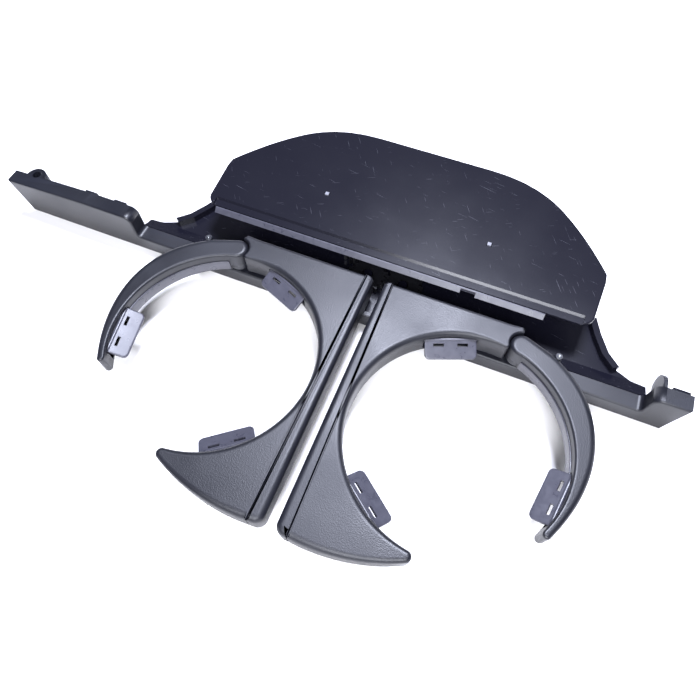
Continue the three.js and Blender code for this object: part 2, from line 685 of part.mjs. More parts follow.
function armBodyGeometry() {
  const slabBody = slab(armOutline(), ARM_BOTTOM, ARM_TOP, ARM_EDGE);
  const tongueTop = ARM_BOTTOM + TONGUE;
  const tongue = rod(HINGE_X, HINGE_Y, ARM_BOTTOM, tongueTop, FINGER_END_RADIUS - GAP, 24);
  const bridge = box(-9, 0, -3.4, 3.4, ARM_BOTTOM, tongueTop);
  bridge.rotateZ(rad(-20)).translate(HINGE_X, HINGE_Y, 0);
  const hollows = Object.keys(PLATE_SCREWS).flatMap((part) => [
    hollowGeometry(0, part, ARM_BOTTOM - 1, ARM_BOTTOM + PLATE_THICKNESS + GAP),
    hollowGeometry(1, part, ARM_BOTTOM, ARM_TOP - ARM_ROOF),
  ]);
  const screws = Object.values(PLATE_SCREWS);
  const bossFoot = ARM_BOTTOM + PLATE_THICKNESS + GAP;
  const bosses = screws.map(([x, y]) => rod(x, y, bossFoot, ARM_TOP - 1.5, 2.4, 14));
  const shell = join(cut(join(slabBody, tongue, bridge), ...hollows), ...bosses);
  const tools = [
    rod(PIVOT_X, PIVOT_Y, ARM_BOTTOM - 1, ARM_TOP - 3, PIVOT_SHAFT + GAP, 20),
    rod(HINGE_X, HINGE_Y, ARM_BOTTOM - 1, tongueTop + 1, FINGER_PIN + GAP, 16),
    ...screws.map(([x, y]) => rod(x, y, ARM_BOTTOM - 1, ARM_TOP - 4.2, 1.2, 10)),
    ...BODY_FLAPS.flatMap(([, frame]) => flapPocket(frame)),
    ...capTabs(GAP),
  ];
  return cut(shell, ...tools);
}

function capTabs(grow) {
  return [ARM_BACK_Y - 17.5, ARM_FRONT_Y + 13.6].map((y) => {
    const x = seamX(y);
    const half = 2.5 + grow;
    return box(x - 1, x + 2.2 + grow, y - half, y + half, ARM_BOTTOM + 3.5 - grow, ARM_TOP - 4 + grow);
  });
}

function spineCapGeometry() {
  const corner = 3.4;
  const frontX = seamX(ARM_FRONT_Y) - GAP / 2;
  const heel = PIVOT_X - GAP;
  const heelFrom = 180 - Math.asin((ARM_BACK_Y - PIVOT_Y) / heel) * 180 / Math.PI;
  const heelTo = 180 - Math.acos((PIVOT_X - SPINE_X) / heel) * 180 / Math.PI;
  const outline = [
    ...arc(PIVOT_X, PIVOT_Y, heel, heelFrom, heelTo, 3),
    ...arc(SPINE_X + corner, noseY(SPINE_X + corner) + corner, corner, 180, 262, 6),
    [frontX, noseY(frontX)],
    [seamX(ARM_BACK_Y) - GAP / 2, ARM_BACK_Y],
  ];
  return join(slab(outline, ARM_BOTTOM, ARM_TOP, 0.5), ...capTabs(0));
}

function underplateGeometry(part) {
  const plate = hollowGeometry(GAP, part, ARM_BOTTOM, ARM_BOTTOM + PLATE_THICKNESS);
  const [x, y] = PLATE_SCREWS[part];
  return cut(plate, rod(x, y, ARM_BOTTOM - 1, ARM_BOTTOM + 3, 2.2, 14));
}

function screwGeometry([x, y]) {
  const head = rod(x, y, ARM_BOTTOM + 0.2, ARM_BOTTOM + 1.3, 1.8, 14);
  const shank = rod(x, y, ARM_BOTTOM + 1, ARM_TOP - 5.2, 0.9, 10);
  return join(head, shank);
}

// ---- striker peg under the right arm; the push latch holds it when the arms are stowed ----
function strikerGeometry() {
  const peg = rod(STRIKER_X, STRIKER_Y, ARM_BOTTOM - 2.2, ARM_BOTTOM + 3.4, STRIKER_RADIUS, 14);
  return join(peg, rod(STRIKER_X, STRIKER_Y, ARM_BOTTOM - 0.7, ARM_BOTTOM - GAP, STRIKER_RADIUS + 0.4, 14));
}

const armBody = armBodyGeometry();
const strikerHole = rod(STRIKER_X, STRIKER_Y, ARM_BOTTOM - 1, ARM_BOTTOM + 3.8, STRIKER_RADIUS + GAP, 14);
add('left_arm_body', mirrored(armBody), 'grained');
add('right_arm_body', cut(armBody, strikerHole), 'grained');
add('latch_striker', strikerGeometry(), 'steel');
addPair('spine_cap', spineCapGeometry(), 'grained');
for (const [part, place] of Object.entries(PLATE_SCREWS)) {
  addPair(`${part}_underplate`, underplateGeometry(part), 'smooth');
  addPair(`${part}_underplate_screw`, screwGeometry(place), 'steel');
}

// ---- pivot shaft, its clip and its return spring ----
const SHAFT_FOOT = 0.7;

function shaftGeometry() {
  const full = rod(PIVOT_X, PIVOT_Y, SHAFT_FOOT, ARM_TOP - 3.4, PIVOT_SHAFT, 20);
  const groove = cut(
    rod(PIVOT_X, PIVOT_Y, SHAFT_FOOT + 0.6, SHAFT_FOOT + 1.5, PIVOT_SHAFT + 1, 20),
    rod(PIVOT_X, PIVOT_Y, 0, SHAFT_FOOT + 3, PIVOT_SHAFT - 0.5, 20),
  );
  return cut(full, groove);
}

function clipGeometry() {
  const ring = rod(PIVOT_X, PIVOT_Y, SHAFT_FOOT + 0.8, SHAFT_FOOT + 1.3, CLIP_RADIUS, 20);
  const mouth = box(PIVOT_X - 1, PIVOT_X + 1, PIVOT_Y, PIVOT_Y + 5, 0, 4);
  return cut(ring, rod(PIVOT_X, PIVOT_Y, 0, 4, PIVOT_SHAFT - 0.5 + 0.2, 20), mouth);
}

addPair('pivot_shaft', shaftGeometry(), 'steel');
addPair('pivot_clip', clipGeometry(), 'steel');
const SPRING_Z = SHAFT_FOOT + 1.3 + GAP + SPRING_WIRE;
const SPRING_PITCH = (GEAR_FLOOR - DECK - GAP - SPRING_WIRE - SPRING_Z) / SPRING_TURNS;
addPair('arm_spring', coil(PIVOT_X, PIVOT_Y, SPRING_Z, 2.35, SPRING_PITCH), 'wire');

// ---- finger ----
const FINGER_CENTRE = turned([RING_X, RING_Y], [HINGE_X, HINGE_Y], -FINGER_CLOSED_BY);

function fingerWidth(angle) {
  const t = Math.min(1, Math.max(0, (angle - FINGER_TIP_ANGLE) / (45 - FINGER_TIP_ANGLE)));
  return FINGER_TIP_WIDTH + (FINGER_ROOT_WIDTH - FINGER_TIP_WIDTH) * t * t * (3 - 2 * t);
}

function fingerOutline() {
  const [cx, cy] = FINGER_CENTRE;
  const hingeAngle = Math.atan2(HINGE_Y - cy, HINGE_X - cx) * 180 / Math.PI;
  const inner = arc(cx, cy, RING_RADIUS, hingeAngle, FINGER_TIP_ANGLE, 32);
  const tipMid = RING_RADIUS + FINGER_TIP_WIDTH / 2;
  const tipX = cx + tipMid * Math.cos(rad(FINGER_TIP_ANGLE));
  const tipY = cy + tipMid * Math.sin(rad(FINGER_TIP_ANGLE));
  const half = FINGER_TIP_WIDTH / 2;
  const tip = arc(tipX, tipY, half, FINGER_TIP_ANGLE + 200, FINGER_TIP_ANGLE + 340, 5);
  const outer = [];
  for (let i = 0; i <= 26; i++) {
    const a = FINGER_TIP_ANGLE + (hingeAngle - 12 - FINGER_TIP_ANGLE) * i / 26;
    const r = RING_RADIUS + fingerWidth(a);
    outer.push([cx + r * Math.cos(rad(a)), cy + r * Math.sin(rad(a))]);
  }
  const end = arc(HINGE_X, HINGE_Y, FINGER_END_RADIUS, hingeAngle, hingeAngle + 180, 12);
  return [...end, ...inner.slice(1), ...tip, ...outer];
}

const FINGER_FLAP = flapFrame(FINGER_FLAP_ANGLE, FINGER_CENTRE);

function fingerGeometry() {
  const body = slab(fingerOutline(), FINGER_BOTTOM, ARM_TOP - 0.1, ARM_EDGE);
  const [cx, cy] = FINGER_CENTRE;
  const nibAngle = rad(58);
  const nibR = RING_RADIUS + FINGER_ROOT_WIDTH + 0.7;
  const nib = rod(cx + nibR * Math.cos(nibAngle), cy + nibR * Math.sin(nibAngle), 14, 19.4, 1.5, 12);
  const tongueTop = ARM_BOTTOM + TONGUE;
  return cut(
    join(body, nib),
    rod(HINGE_X, HINGE_Y, 0, tongueTop + RUN, FINGER_END_RADIUS + RUN, 24),
    rod(HINGE_X, HINGE_Y, 0, tongueTop + 4, 3.2, 20),
    rod(HINGE_X, HINGE_Y, 0, ARM_TOP - 2.2, FINGER_PIN + GAP, 16),
    ...flapPocket(FINGER_FLAP),
  );
}

addPair('finger', fingerGeometry(), 'grained');
addPair('finger_pin', rod(HINGE_X, HINGE_Y, ARM_BOTTOM + 0.1, ARM_TOP - 2.6, FINGER_PIN, 16), 'steel');
addPair('finger_spring', coil(HINGE_X, HINGE_Y, ARM_BOTTOM + TONGUE + 0.7, 2.25, 0.72), 'wire');

// ---- grip flaps ----
for (const [name, frame] of BODY_FLAPS) {
  addPair(`${name}_flap`, flapGeometry(frame), 'flap');
}
addPair('finger_flap', flapGeometry(FINGER_FLAP), 'flap');

// ---- gear train that makes the arms swing together ----
function gearPoints(teeth, from, to, phase) {
  // tooth centres lie at phase plus whole pitches, in degrees; only those between from and to are cut
  const pitchR = teeth * MODULE / 2;
  const tipR = pitchR + 0.8 * MODULE;
  const rootR = pitchR - 1.05 * MODULE;
  const pressure = rad(20);
  const baseR = pitchR * Math.cos(pressure);
  const inv = (a) => Math.tan(a) - a;
  const halfPitch = Math.PI / (2 * teeth) - 0.11 / pitchR;
  const halfAt = (r) => {
    const a = Math.acos(Math.min(1, baseR / r));
    return (halfPitch + inv(pressure) - inv(a)) * 180 / Math.PI;
  };
  const step = 360 / teeth;
  const points = [];
  const at = (r, a) => points.push([r * Math.cos(rad(a)), r * Math.sin(rad(a))]);
  const first = Math.ceil((from - phase) / step);
  const last = Math.floor((to - phase) / step);
  for (let i = first; i <= last; i++) {
    const a = phase + i * step;
    at(rootR, a - halfAt(baseR) - 1.5);
    at(pitchR, a - halfAt(pitchR));
    at(tipR, a - halfAt(tipR));
    at(tipR, a + halfAt(tipR));
    at(pitchR, a + halfAt(pitchR));
    at(rootR, a + halfAt(baseR) + 1.5);
  }
  return points;
}

function gearGeometry(x, y, teeth, phase, bore) {
  const outline = gearPoints(teeth, phase, phase + 359.9, phase);
  const wheel = slab(outline, GEAR_BOTTOM, GEAR_BOTTOM + GEAR_THICKNESS);
  return cut(wheel, rod(0, 0, 0, 40, bore, 16)).translate(x, y, 0);
}

function sectorGeometry(side, phase) {
  const teeth = gearPoints(SECTOR_TEETH, 90 - 104, 90 + 20, phase);
  const sector = slab([...teeth, [-0.6, 0.4], [0.4, -0.6]], GEAR_BOTTOM, GEAR_BOTTOM + GEAR_THICKNESS);
  const hub = rod(0, 0, GEAR_BOTTOM, GEAR_BOTTOM + GEAR_THICKNESS, 3.3, 20);
  const solid = cut(join(sector, hub), rod(0, 0, 0, 40, PIVOT_SHAFT + GAP, 20));
  solid.translate(PIVOT_X, PIVOT_Y, 0);
  return side > 0 ? solid : mirrored(solid);
}

const SECTOR_PITCH = 360 / SECTOR_TEETH;
const IDLER_PITCH = 360 / IDLER_TEETH;
add('right_gear_sector', sectorGeometry(1, 90), 'gear');
add('left_gear_sector', sectorGeometry(-1, 90 + SECTOR_PITCH / 2), 'gear');
add('right_idler_gear', gearGeometry(PIVOT_X, IDLER_Y, IDLER_TEETH, -90 + IDLER_PITCH / 2, 2 + RUN), 'gear');
add('left_idler_gear', gearGeometry(-PIVOT_X, IDLER_Y, IDLER_TEETH, -90, 2 + RUN), 'gear');

function pinionGeometry() {
  const x = damperX();
  const y = damperY();
  const wheel = gearGeometry(x, y, PINION_TEETH, -45 + 180 / PINION_TEETH, 0.5);
  return join(wheel, rod(x, y, 2.4, GEAR_BOTTOM + GEAR_THICKNESS, 1.4, 14));
}

function damperGeometry() {
  const x = damperX();
  const y = damperY();
  const top = GEAR_FLOOR - DECK - GAP;
  const ears = damperEars();
  const body = rod(x, y, 0.4, top, DAMPER_RADIUS, 32);
  const bar = new THREE.BoxGeometry(2 * (DAMPER_RADIUS + 2.2), 4.6, 1.4);
  bar.rotateZ(rad(-45)).translate(x, y, top - 0.7);
  const lugs = ears.map(([ex, ey]) => rod(ex, ey, top - 1.4, top, 2.3, 16));
  const holes = ears.map(([ex, ey]) => rod(ex, ey, 0, 20, 1.2, 12));
  return cut(join(body, bar, ...lugs), rod(x, y, 1.8, 20, 1.9, 16), ...holes);
}

add('damper_pinion', pinionGeometry(), 'gear');
add('damper_body', damperGeometry(), 'damper');
damperEars().forEach(([x, y], i) => {
  const top = GEAR_FLOOR - DECK - GAP;
  const head = rod(x, y, top - 2.8, top - 1.4 - GAP, 1.9, 14);
  const shank = rod(x, y, top - 2, GEAR_FLOOR - 0.6, 0.8, 10);
  add(`damper_screw_${i + 1}`, join(head, shank), 'steel');
});

// ---- push latch that holds the stowed arms ----
const LATCH_Y = PIVOT_Y + STRIKER_REACH;
const LATCH_TIP = PIVOT_X - STRIKER_OFFSET - STRIKER_RADIUS - GAP;
const LATCH_TOP = GEAR_BOTTOM + GEAR_THICKNESS;

function latchBodyGeometry() {
  const back = LATCH_TIP - 10;
  const mouth = LATCH_TIP - LATCH_TRAVEL - GAP;
  const shell = box(back, mouth, LATCH_Y - 4, LATCH_Y + 4, GEAR_FLOOR + GAP, LATCH_TOP);
  const channel = box(back + 1.4, mouth + 1, LATCH_Y - 2.5, LATCH_Y + 2.5, GEAR_FLOOR + 1.2, LATCH_TOP - 0.8);
  return cut(shell, channel);
}

function plungerGeometry() {
  const z0 = GEAR_FLOOR + 1.2 + GAP;
  const z1 = LATCH_TOP - 0.8 - GAP;
  return box(LATCH_TIP - 6.2, LATCH_TIP, LATCH_Y - 2.5 + GAP, LATCH_Y + 2.5 - GAP, z0, z1);
}

add('latch_body', latchBodyGeometry(), 'damper');
add('latch_plunger', plungerGeometry(), 'gear');

export default group;
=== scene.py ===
"""Visible pieces, finishes, table, light and camera of a twin swing-out cup holder.

Lengths in the classes are millimetres in the shared frame. They become metres where they
reach the scene.
"""
import json
import logging
import math
from dataclasses import dataclass, field
from enum import Enum
from typing import Callable, Iterable, Sequence

import bmesh
import bpy
from mathutils import Matrix, Vector


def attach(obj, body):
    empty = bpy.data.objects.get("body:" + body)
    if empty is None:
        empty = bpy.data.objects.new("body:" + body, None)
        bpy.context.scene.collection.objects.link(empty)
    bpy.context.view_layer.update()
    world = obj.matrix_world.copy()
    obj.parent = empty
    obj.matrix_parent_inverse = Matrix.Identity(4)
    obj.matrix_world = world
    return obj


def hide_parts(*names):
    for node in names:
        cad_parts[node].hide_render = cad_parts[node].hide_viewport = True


LOG = logging.getLogger("cup_holder")
MM = 0.001  # metres
CRISP_ANGLE = 32.0  # degrees: an edge that turns further stays crisp
BROAD_FACE = 12.0  # square millimetres: a larger face is shaded flat
FOOT_RIM = 0.3  # millimetres from a slab's plain edge to the ring of points inside it
TOP_RIM = 0.35  # the same at its rounded edge
FOOT_STEPS = 2  # chords in a slab's plain edge
MITRE_LIMIT = 0.45  # keeps the mitre at a sharp corner short
HAIR = 0.02  # millimetres between a refined top and the frame's own
FORM_FOOT = 0.1  # millimetres: edge radius at the hidden end of a trimming form
Point = tuple[float, float]


class Side(Enum):
    """The two mirror-image sides of the holder."""

    LEFT = -1
    RIGHT = 1

    @property
    def word(self) -> str:
        """The side's word in node and body names."""
        return self.name.lower()


class Plane(Enum):
    """The plane an outline is drawn in and the way it is swept."""

    XY_UP = "swept along +Z"
    XZ_FORWARD = "swept along -Y"


class Change(Enum):
    """What a tool does to a piece."""

    JOIN = "UNION"
    CUT = "DIFFERENCE"
    TRIM = "INTERSECT"


# ---------------------------------------------------------------- outlines


def arc(centre: Point, radius: float, start: float, end: float, steps: int) -> list[Point]:
    """Points on an arc.

    Args:
        centre: the arc's centre.
        radius: its radius.
        start: first angle in degrees.
        end: last angle in degrees.
        steps: number of chords.

    Returns:
        steps + 1 points.
    """
    angles = [math.radians(start + (end - start) * i / steps) for i in range(steps + 1)]
    return [(centre[0] + radius * math.cos(a), centre[1] + radius * math.sin(a)) for a in angles]


def crossing(a: Point, ra: float, b: Point, rb: float, side: int) -> Point:
    """One of the two points where two circles cross.

    Args:
        a: centre of the first circle.
        ra: its radius.
        b: centre of the second circle.
        rb: its radius.
        side: 1 for the point to the left of the way from a to b, -1 for the other.

    Returns:
        The point.
    """
    dx, dy = b[0] - a[0], b[1] - a[1]
    d = math.hypot(dx, dy)
    along = (d * d + ra * ra - rb * rb) / (2 * d)
    off = side * math.sqrt(ra * ra - along * along)
    return (a[0] + (dx * along - dy * off) / d, a[1] + (dy * along + dx * off) / d)


def heading(a: Point, b: Point) -> float:
    """The direction from a to b in degrees."""
    return math.degrees(math.atan2(b[1] - a[1], b[0] - a[0]))


def turned(p: Point, about: Point, angle: float) -> Point:
    """A point turned about another.

    Args:
        p: the point.
        about: the centre of the turn.
        angle: the turn in degrees, counter-clockwise.

    Returns:
        The turned point.
    """
    c, s = math.cos(math.radians(angle)), math.sin(math.radians(angle))
    x, y = p[0] - about[0], p[1] - about[1]
    return (about[0] + x * c - y * s, about[1] + x * s + y * c)


@dataclass
class Outline:
    """A closed counter-clockwise outline whose upper edge is rounded by its own radius at each point."""

    points: list[Point] = field(default_factory=list)
    radii: list[float] = field(default_factory=list)

    def add(self, points: Iterable[Point], radius: float, to: float | None = None) -> "Outline":
        """Adds a stretch of points.

        Args:
            points: the stretch.
            radius: edge radius at its first point.
            to: edge radius at its last point, the same if left out.

        Returns:
            The outline itself, so that stretches chain.
        """
        stretch = list(points)
        last = radius if to is None else to
        for i, point in enumerate(stretch):
            share = i / max(1, len(stretch) - 1)
            self.points.append(point)
            self.radii.append(radius + (last - radius) * share)
        return self

    def normals(self) -> list[Vector]:
        """Inward mitred normals.

        Returns:
            One normal for each point, longer at a sharp corner.
        """
        count = len(self.points)
        found = []
        for i in range(count):
            before = Vector(self.points[i]) - Vector(self.points[i - 1])
            after = Vector(self.points[(i + 1) % count]) - Vector(self.points[i])
            n1 = Vector((-before.y, before.x)).normalized()
            n2 = Vector((-after.y, after.x)).normalized()
            middle = (n1 + n2).normalized()
            found.append(middle / max(MITRE_LIMIT, middle.dot(n1)))
        return found

    def loop(self, share: Callable[[float], float]) -> list[Point]:
        """The outline moved inwards.

        Args:
            share: gives the step inwards at a point from its edge radius.

        Returns:
            The moved points.
        """
        moved = []
        for point, normal, radius in zip(self.points, self.normals(), self.radii):
            step = normal * share(radius)
            moved.append((point[0] + step.x, point[1] + step.y))
        return moved


# ---------------------------------------------------------------- mesh helpers


def linked(data: bpy.types.Mesh, name: str) -> bpy.types.Object:
    """Links a mesh to the scene.

    Args:
        data: the mesh.
        name: the piece's name.

    Returns:
        The new object.
    """
    piece = bpy.data.objects.new(name, data)
    bpy.context.scene.collection.objects.link(piece)
    return piece


def to_object(mesh: bmesh.types.BMesh, name: str) -> bpy.types.Object:
    """Turns a bmesh in millimetres into a smooth-shaded object in metres.

    Args:
        mesh: the bmesh, freed here.
        name: the piece's name.

    Returns:
        The new object, linked to the scene.
    """
    bmesh.ops.recalc_face_normals(mesh, faces=mesh.faces)
    bmesh.ops.scale(mesh, vec=(MM, MM, MM), verts=mesh.verts)
    data = bpy.data.meshes.new(name)
    mesh.to_mesh(data)
    mesh.free()
    data.shade_smooth()
    data.set_sharp_from_angle(angle=math.radians(CRISP_ANGLE))
    return linked(data, name)


def closed(rings: list[list[bmesh.types.BMVert]], mesh: bmesh.types.BMesh) -> bmesh.types.BMesh:
    """Skins a stack of rings and closes both ends.

    Args:
        rings: rings of points with the same number of points each.
        mesh: the bmesh that the points are in.

    Returns:
        The same bmesh with its faces.
    """
    count = len(rings[0])
    for lower, upper in zip(rings, rings[1:]):
        for i in range(count):
            j = (i + 1) % count
            mesh.faces.new((lower[i], lower[j], upper[j], upper[i]))
    mesh.faces.new(rings[0][::-1])
    mesh.faces.new(rings[-1])
    return mesh


def rounded_slab(
    outline: Outline,
    low: float,
    high: float,
    foot: float = 0.4,
    steps: int = 6,
    plane: Plane = Plane.XY_UP,
) -> bmesh.types.BMesh:
    """A slab whose far edge is rounded by the outline's radii.

    Args:
        outline: the slab's outline.
        low: the plain end's place along the sweep.
        high: the rounded end's place along the sweep.
        foot: radius of the plain end's edge.
        steps: chords in the rounded edge.
        plane: the plane of the outline.

    Returns:
        A closed bmesh in millimetres.
    """
    levels: list[tuple[list[Point], list[float]]] = []
    count = len(outline.points)
    levels.append((outline.loop(lambda r: foot + FOOT_RIM), [low] * count))
    for i in range(FOOT_STEPS + 1):
        angle = math.radians(90 * i / FOOT_STEPS)
        inset = foot * (1 - math.sin(angle))
        levels.append((outline.loop(lambda r, d=inset: d), [low + foot * (1 - math.cos(angle))] * count))
    for i in range(steps + 1):
        angle = math.radians(90 * i / steps)
        loop = outline.loop(lambda r, a=angle: r * (1 - math.cos(a)))
        levels.append((loop, [high - r * (1 - math.sin(angle)) for r in outline.radii]))
    levels.append((outline.loop(lambda r: r + TOP_RIM), [high] * count))
    mesh = bmesh.new()
    rings = []
    for loop, heights in levels:
        corners = [(x, y, z) for (x, y), z in zip(loop, heights)]
        if plane is Plane.XZ_FORWARD:
            corners = [(x, -z, y) for x, y, z in corners]
        rings.append([mesh.verts.new(c) for c in corners])
    return closed(rings, mesh)


def mirror(piece: bpy.types.Object) -> bpy.types.Object:
    """Mirrors a piece's mesh across the plane between the arms.

    Args:
        piece: the piece, changed in place.

    Returns:
        The same piece.
    """
    piece.data.transform(Matrix.Scale(-1, 4, (1, 0, 0)))
    piece.data.flip_normals()
    return piece


def combine(piece: bpy.types.Object, tool: bpy.types.Object, how: Change) -> bpy.types.Object:
    """Joins, cuts or trims a piece with a tool, and removes the tool.

    Args:
        piece: the object that is kept.
        tool: the object that is used up.
        how: what the tool does.

    Returns:
        The piece with its new mesh.
    """
    change = piece.modifiers.new("combine", "BOOLEAN")
    change.operation = how.value
    change.solver = "EXACT"
    change.object = tool
    graph = bpy.context.evaluated_depsgraph_get()
    result = bpy.data.meshes.new_from_object(piece.evaluated_get(graph))
    piece.modifiers.remove(change)
    old = piece.data
    piece.data = result
    bpy.data.meshes.remove(old)
    spent = tool.data
    bpy.data.objects.remove(tool)
    bpy.data.meshes.remove(spent)
    return piece


def copied(node: str, name: str) -> bpy.types.Object:
    """A free copy of a frame node's mesh.

    Args:
        node: the frame node.
        name: the new piece's name.

    Returns:
        The new piece, without a material and with its doubled points merged.
    """
    data = FRAME["nodes"][node].data.copy()
    data.materials.clear()
    piece = linked(data, name)
    merged = bmesh.new()
    merged.from_mesh(data)
    bmesh.ops.remove_doubles(merged, verts=merged.verts, dist=1e-7)
    merged.to_mesh(data)
    merged.free()
    return piece


def crisp(piece: bpy.types.Object) -> bpy.types.Object:
    """Shades a piece smooth, with crisp edges and flat broad faces.

    Args:
        piece: the piece, changed in place.

    Returns:
        The same piece.
    """
    bpy.context.view_layer.update()
    piece.data.shade_smooth()
    piece.data.set_sharp_from_angle(angle=math.radians(CRISP_ANGLE))
    for face in piece.data.polygons:
        if face.area > BROAD_FACE * MM * MM:
            face.use_smooth = False
    return piece


def turned_rod(
    start: Sequence[float],
    end: Sequence[float],
    radius: float,
    chamfer: float,
    sides: int,
) -> bmesh.types.BMesh:
    """A round rod with chamfered ends between two points.

    Args:
        start: centre of one end, in millimetres.
        end: centre of the other end.
        radius: the rod's radius.
        chamfer: width of the chamfer at both ends.
        sides: number of facets round the rod.

    Returns:
        A closed bmesh in millimetres.
    """
    a, b = Vector(start), Vector(end)
    axis = (b - a).normalized()
    side = axis.orthogonal().normalized()
    other = axis.cross(side)
    length = (b - a).length
    stations = (
        (0.0, radius - chamfer),
        (chamfer, radius),
        (length - chamfer, radius),
        (length, radius - chamfer),
    )
    mesh = bmesh.new()
    rings = []
    for along, r in stations:
        ring = []
        for i in range(sides):
            t = 2 * math.pi * i / sides
            spoke = side * (r * math.cos(t))
            ring.append(mesh.verts.new(a + axis * along + spoke + other * (r * math.sin(t))))
        rings.append(ring)
    return closed(rings, mesh)


def block(low: Sequence[float], high: Sequence[float], bevel: float) -> bmesh.types.BMesh:
    """A box with bevelled edges.

    Args:
        low: its least corner, in millimetres.
        high: its greatest corner.
        bevel: width of the bevels.

    Returns:
        A closed bmesh in millimetres.
    """
    mesh = bmesh.new()
    bmesh.ops.create_cube(mesh, size=1)
    for vert in mesh.verts:
        vert.co = [low[axis] if vert.co[axis] < 0 else high[axis] for axis in range(3)]
    bmesh.ops.bevel(mesh, geom=list(mesh.edges), offset=bevel, segments=2, profile=0.5, affect="EDGES")
    return mesh


# ---------------------------------------------------------------- finishes
# Pattern sizes, gaps and depths are millimetres.


def linear(code: str) -> tuple[float, float, float, float]:
    """An sRGB colour as linear RGBA.

    Args:
        code: the colour as "#rrggbb".

    Returns:
        Its linear red, green and blue, and 1.
    """
    values = [int(code[i : i + 2], 16) / 255 for i in (1, 3, 5)]
    parts = [v / 12.92 if v <= 0.04045 else ((v + 0.055) / 1.055) ** 2.4 for v in values]
    return (parts[0], parts[1], parts[2], 1.0)


def per_mm(size: float) -> float:
    """Texture scale, in cells per metre, for a pattern with this size in millimetres."""
    return 1.0 / (size * MM)


def put(
    tree: bpy.types.NodeTree,
    kind: str,
    settings: dict | None = None,
    links: dict | None = None,
) -> bpy.types.Node:
    """Adds one node.

    Args:
        tree: the material's node tree.
        kind: the node's type name.
        settings: attributes and input values by name, or input values by number.
        links: output sockets to join to inputs by name or number.

    Returns:
        The new node.
    """
    node = tree.nodes.new(kind)
    for key, value in (settings or {}).items():
        if isinstance(key, str) and key[0].islower():
            setattr(node, key, value)
        else:
            node.inputs[key].default_value = value
    for key, source in (links or {}).items():
        tree.links.new(source, node.inputs[key])
    return node


def fresh(name: str) -> tuple[bpy.types.Material, bpy.types.NodeTree, bpy.types.Node, bpy.types.NodeSocket]:
    """An empty material.

    Args:
        name: the material's name.

    Returns:
        The material, its node tree, its shader and its object coordinates.
    """
    material = bpy.data.materials.new(name)
    material.use_nodes = True
    tree = material.node_tree
    tree.nodes.clear()
    shader = put(tree, "ShaderNodeBsdfPrincipled")
    output = put(tree, "ShaderNodeOutputMaterial", links={"Surface": shader.outputs["BSDF"]})
    output.is_active_output = True
    place = put(tree, "ShaderNodeTexCoord")
    return material, tree, shader, place.outputs["Object"]


@dataclass(frozen=True)
class GrainedPolypropylene:
    """Black polypropylene from an etched mould: a fine leather grain that breaks up its gloss, with paler
    random patches and painted highlights on convex edges.
    """

    name: str = "grained_polypropylene"
    colour: str = "#101118"
    # paler tone for random patches and painted edge highlights
    patch_and_edge_highlight: str = "#1e2029"
    grain: float = 0.38  # coarser than the real grain, so that it shows
    pits: float = 0.22
    patches: float = 26.0
    depth: float = 0.045
    roughness: float = 0.42
    ior: float = 1.49

    def make(self) -> bpy.types.Material:
        """Builds the material.

        Returns:
            The material.
        """
        material, tree, shader, at = fresh(self.name)
        cells = put(
            tree,
            "ShaderNodeTexVoronoi",
            {"feature": "SMOOTH_F1", "Scale": per_mm(self.grain), "Smoothness": 0.6, "Randomness": 1.0},
            {"Vector": at},
        )
        fine = put(tree, "ShaderNodeTexNoise", {"Scale": per_mm(self.pits), "Detail": 3.0}, {"Vector": at})
        broad = put(
            tree,
            "ShaderNodeTexNoise",
            {"Scale": per_mm(self.patches), "Detail": 5.0},
            {"Vector": at},
        )
        height = put(
            tree,
            "ShaderNodeMath",
            {"operation": "MULTIPLY_ADD", 1: 0.55},
            {0: fine.outputs["Fac"], 2: cells.outputs["Distance"]},
        )
        bump = put(
            tree,
            "ShaderNodeBump",
            {"Strength": 0.75, "Distance": self.depth * MM},
            {"Height": height.outputs[0]},
        )
        glossy, dull = self.roughness - 0.06, self.roughness + 0.09
        rough = put(
            tree,
            "ShaderNodeMapRange",
            {"From Min": 0.3, "From Max": 0.7, "To Min": glossy, "To Max": dull},
            {"Value": broad.outputs["Fac"]},
        )
        shape = put(tree, "ShaderNodeNewGeometry")
        # painted highlight: convex edges, found by pointiness, are lightened towards the paler tone
        edge = put(
            tree,
            "ShaderNodeMapRange",
            {"From Min": 0.52, "From Max": 0.62, "To Min": 0.0, "To Max": 0.55},
            {"Value": shape.outputs["Pointiness"]},
        )
        patch = put(
            tree,
            "ShaderNodeMapRange",
            {"From Min": 0.45, "From Max": 0.75, "To Min": 0.0, "To Max": 0.3},
            {"Value": broad.outputs["Fac"]},
        )
        both = put(
            tree,
            "ShaderNodeMath",
            {"operation": "MAXIMUM"},
            {0: edge.outputs[0], 1: patch.outputs[0]},
        )
        # the paler tone marks random patches and painted edge highlights
        tone = put(
            tree,
            "ShaderNodeMix",
            {"data_type": "RGBA", 6: linear(self.colour), 7: linear(self.patch_and_edge_highlight)},
            {0: both.outputs[0]},
        )
        tree.links.new(tone.outputs[2], shader.inputs["Base Color"])
        tree.links.new(rough.outputs[0], shader.inputs["Roughness"])
        tree.links.new(bump.outputs[0], shader.inputs["Normal"])
        shader.inputs["IOR"].default_value = self.ior
        return material


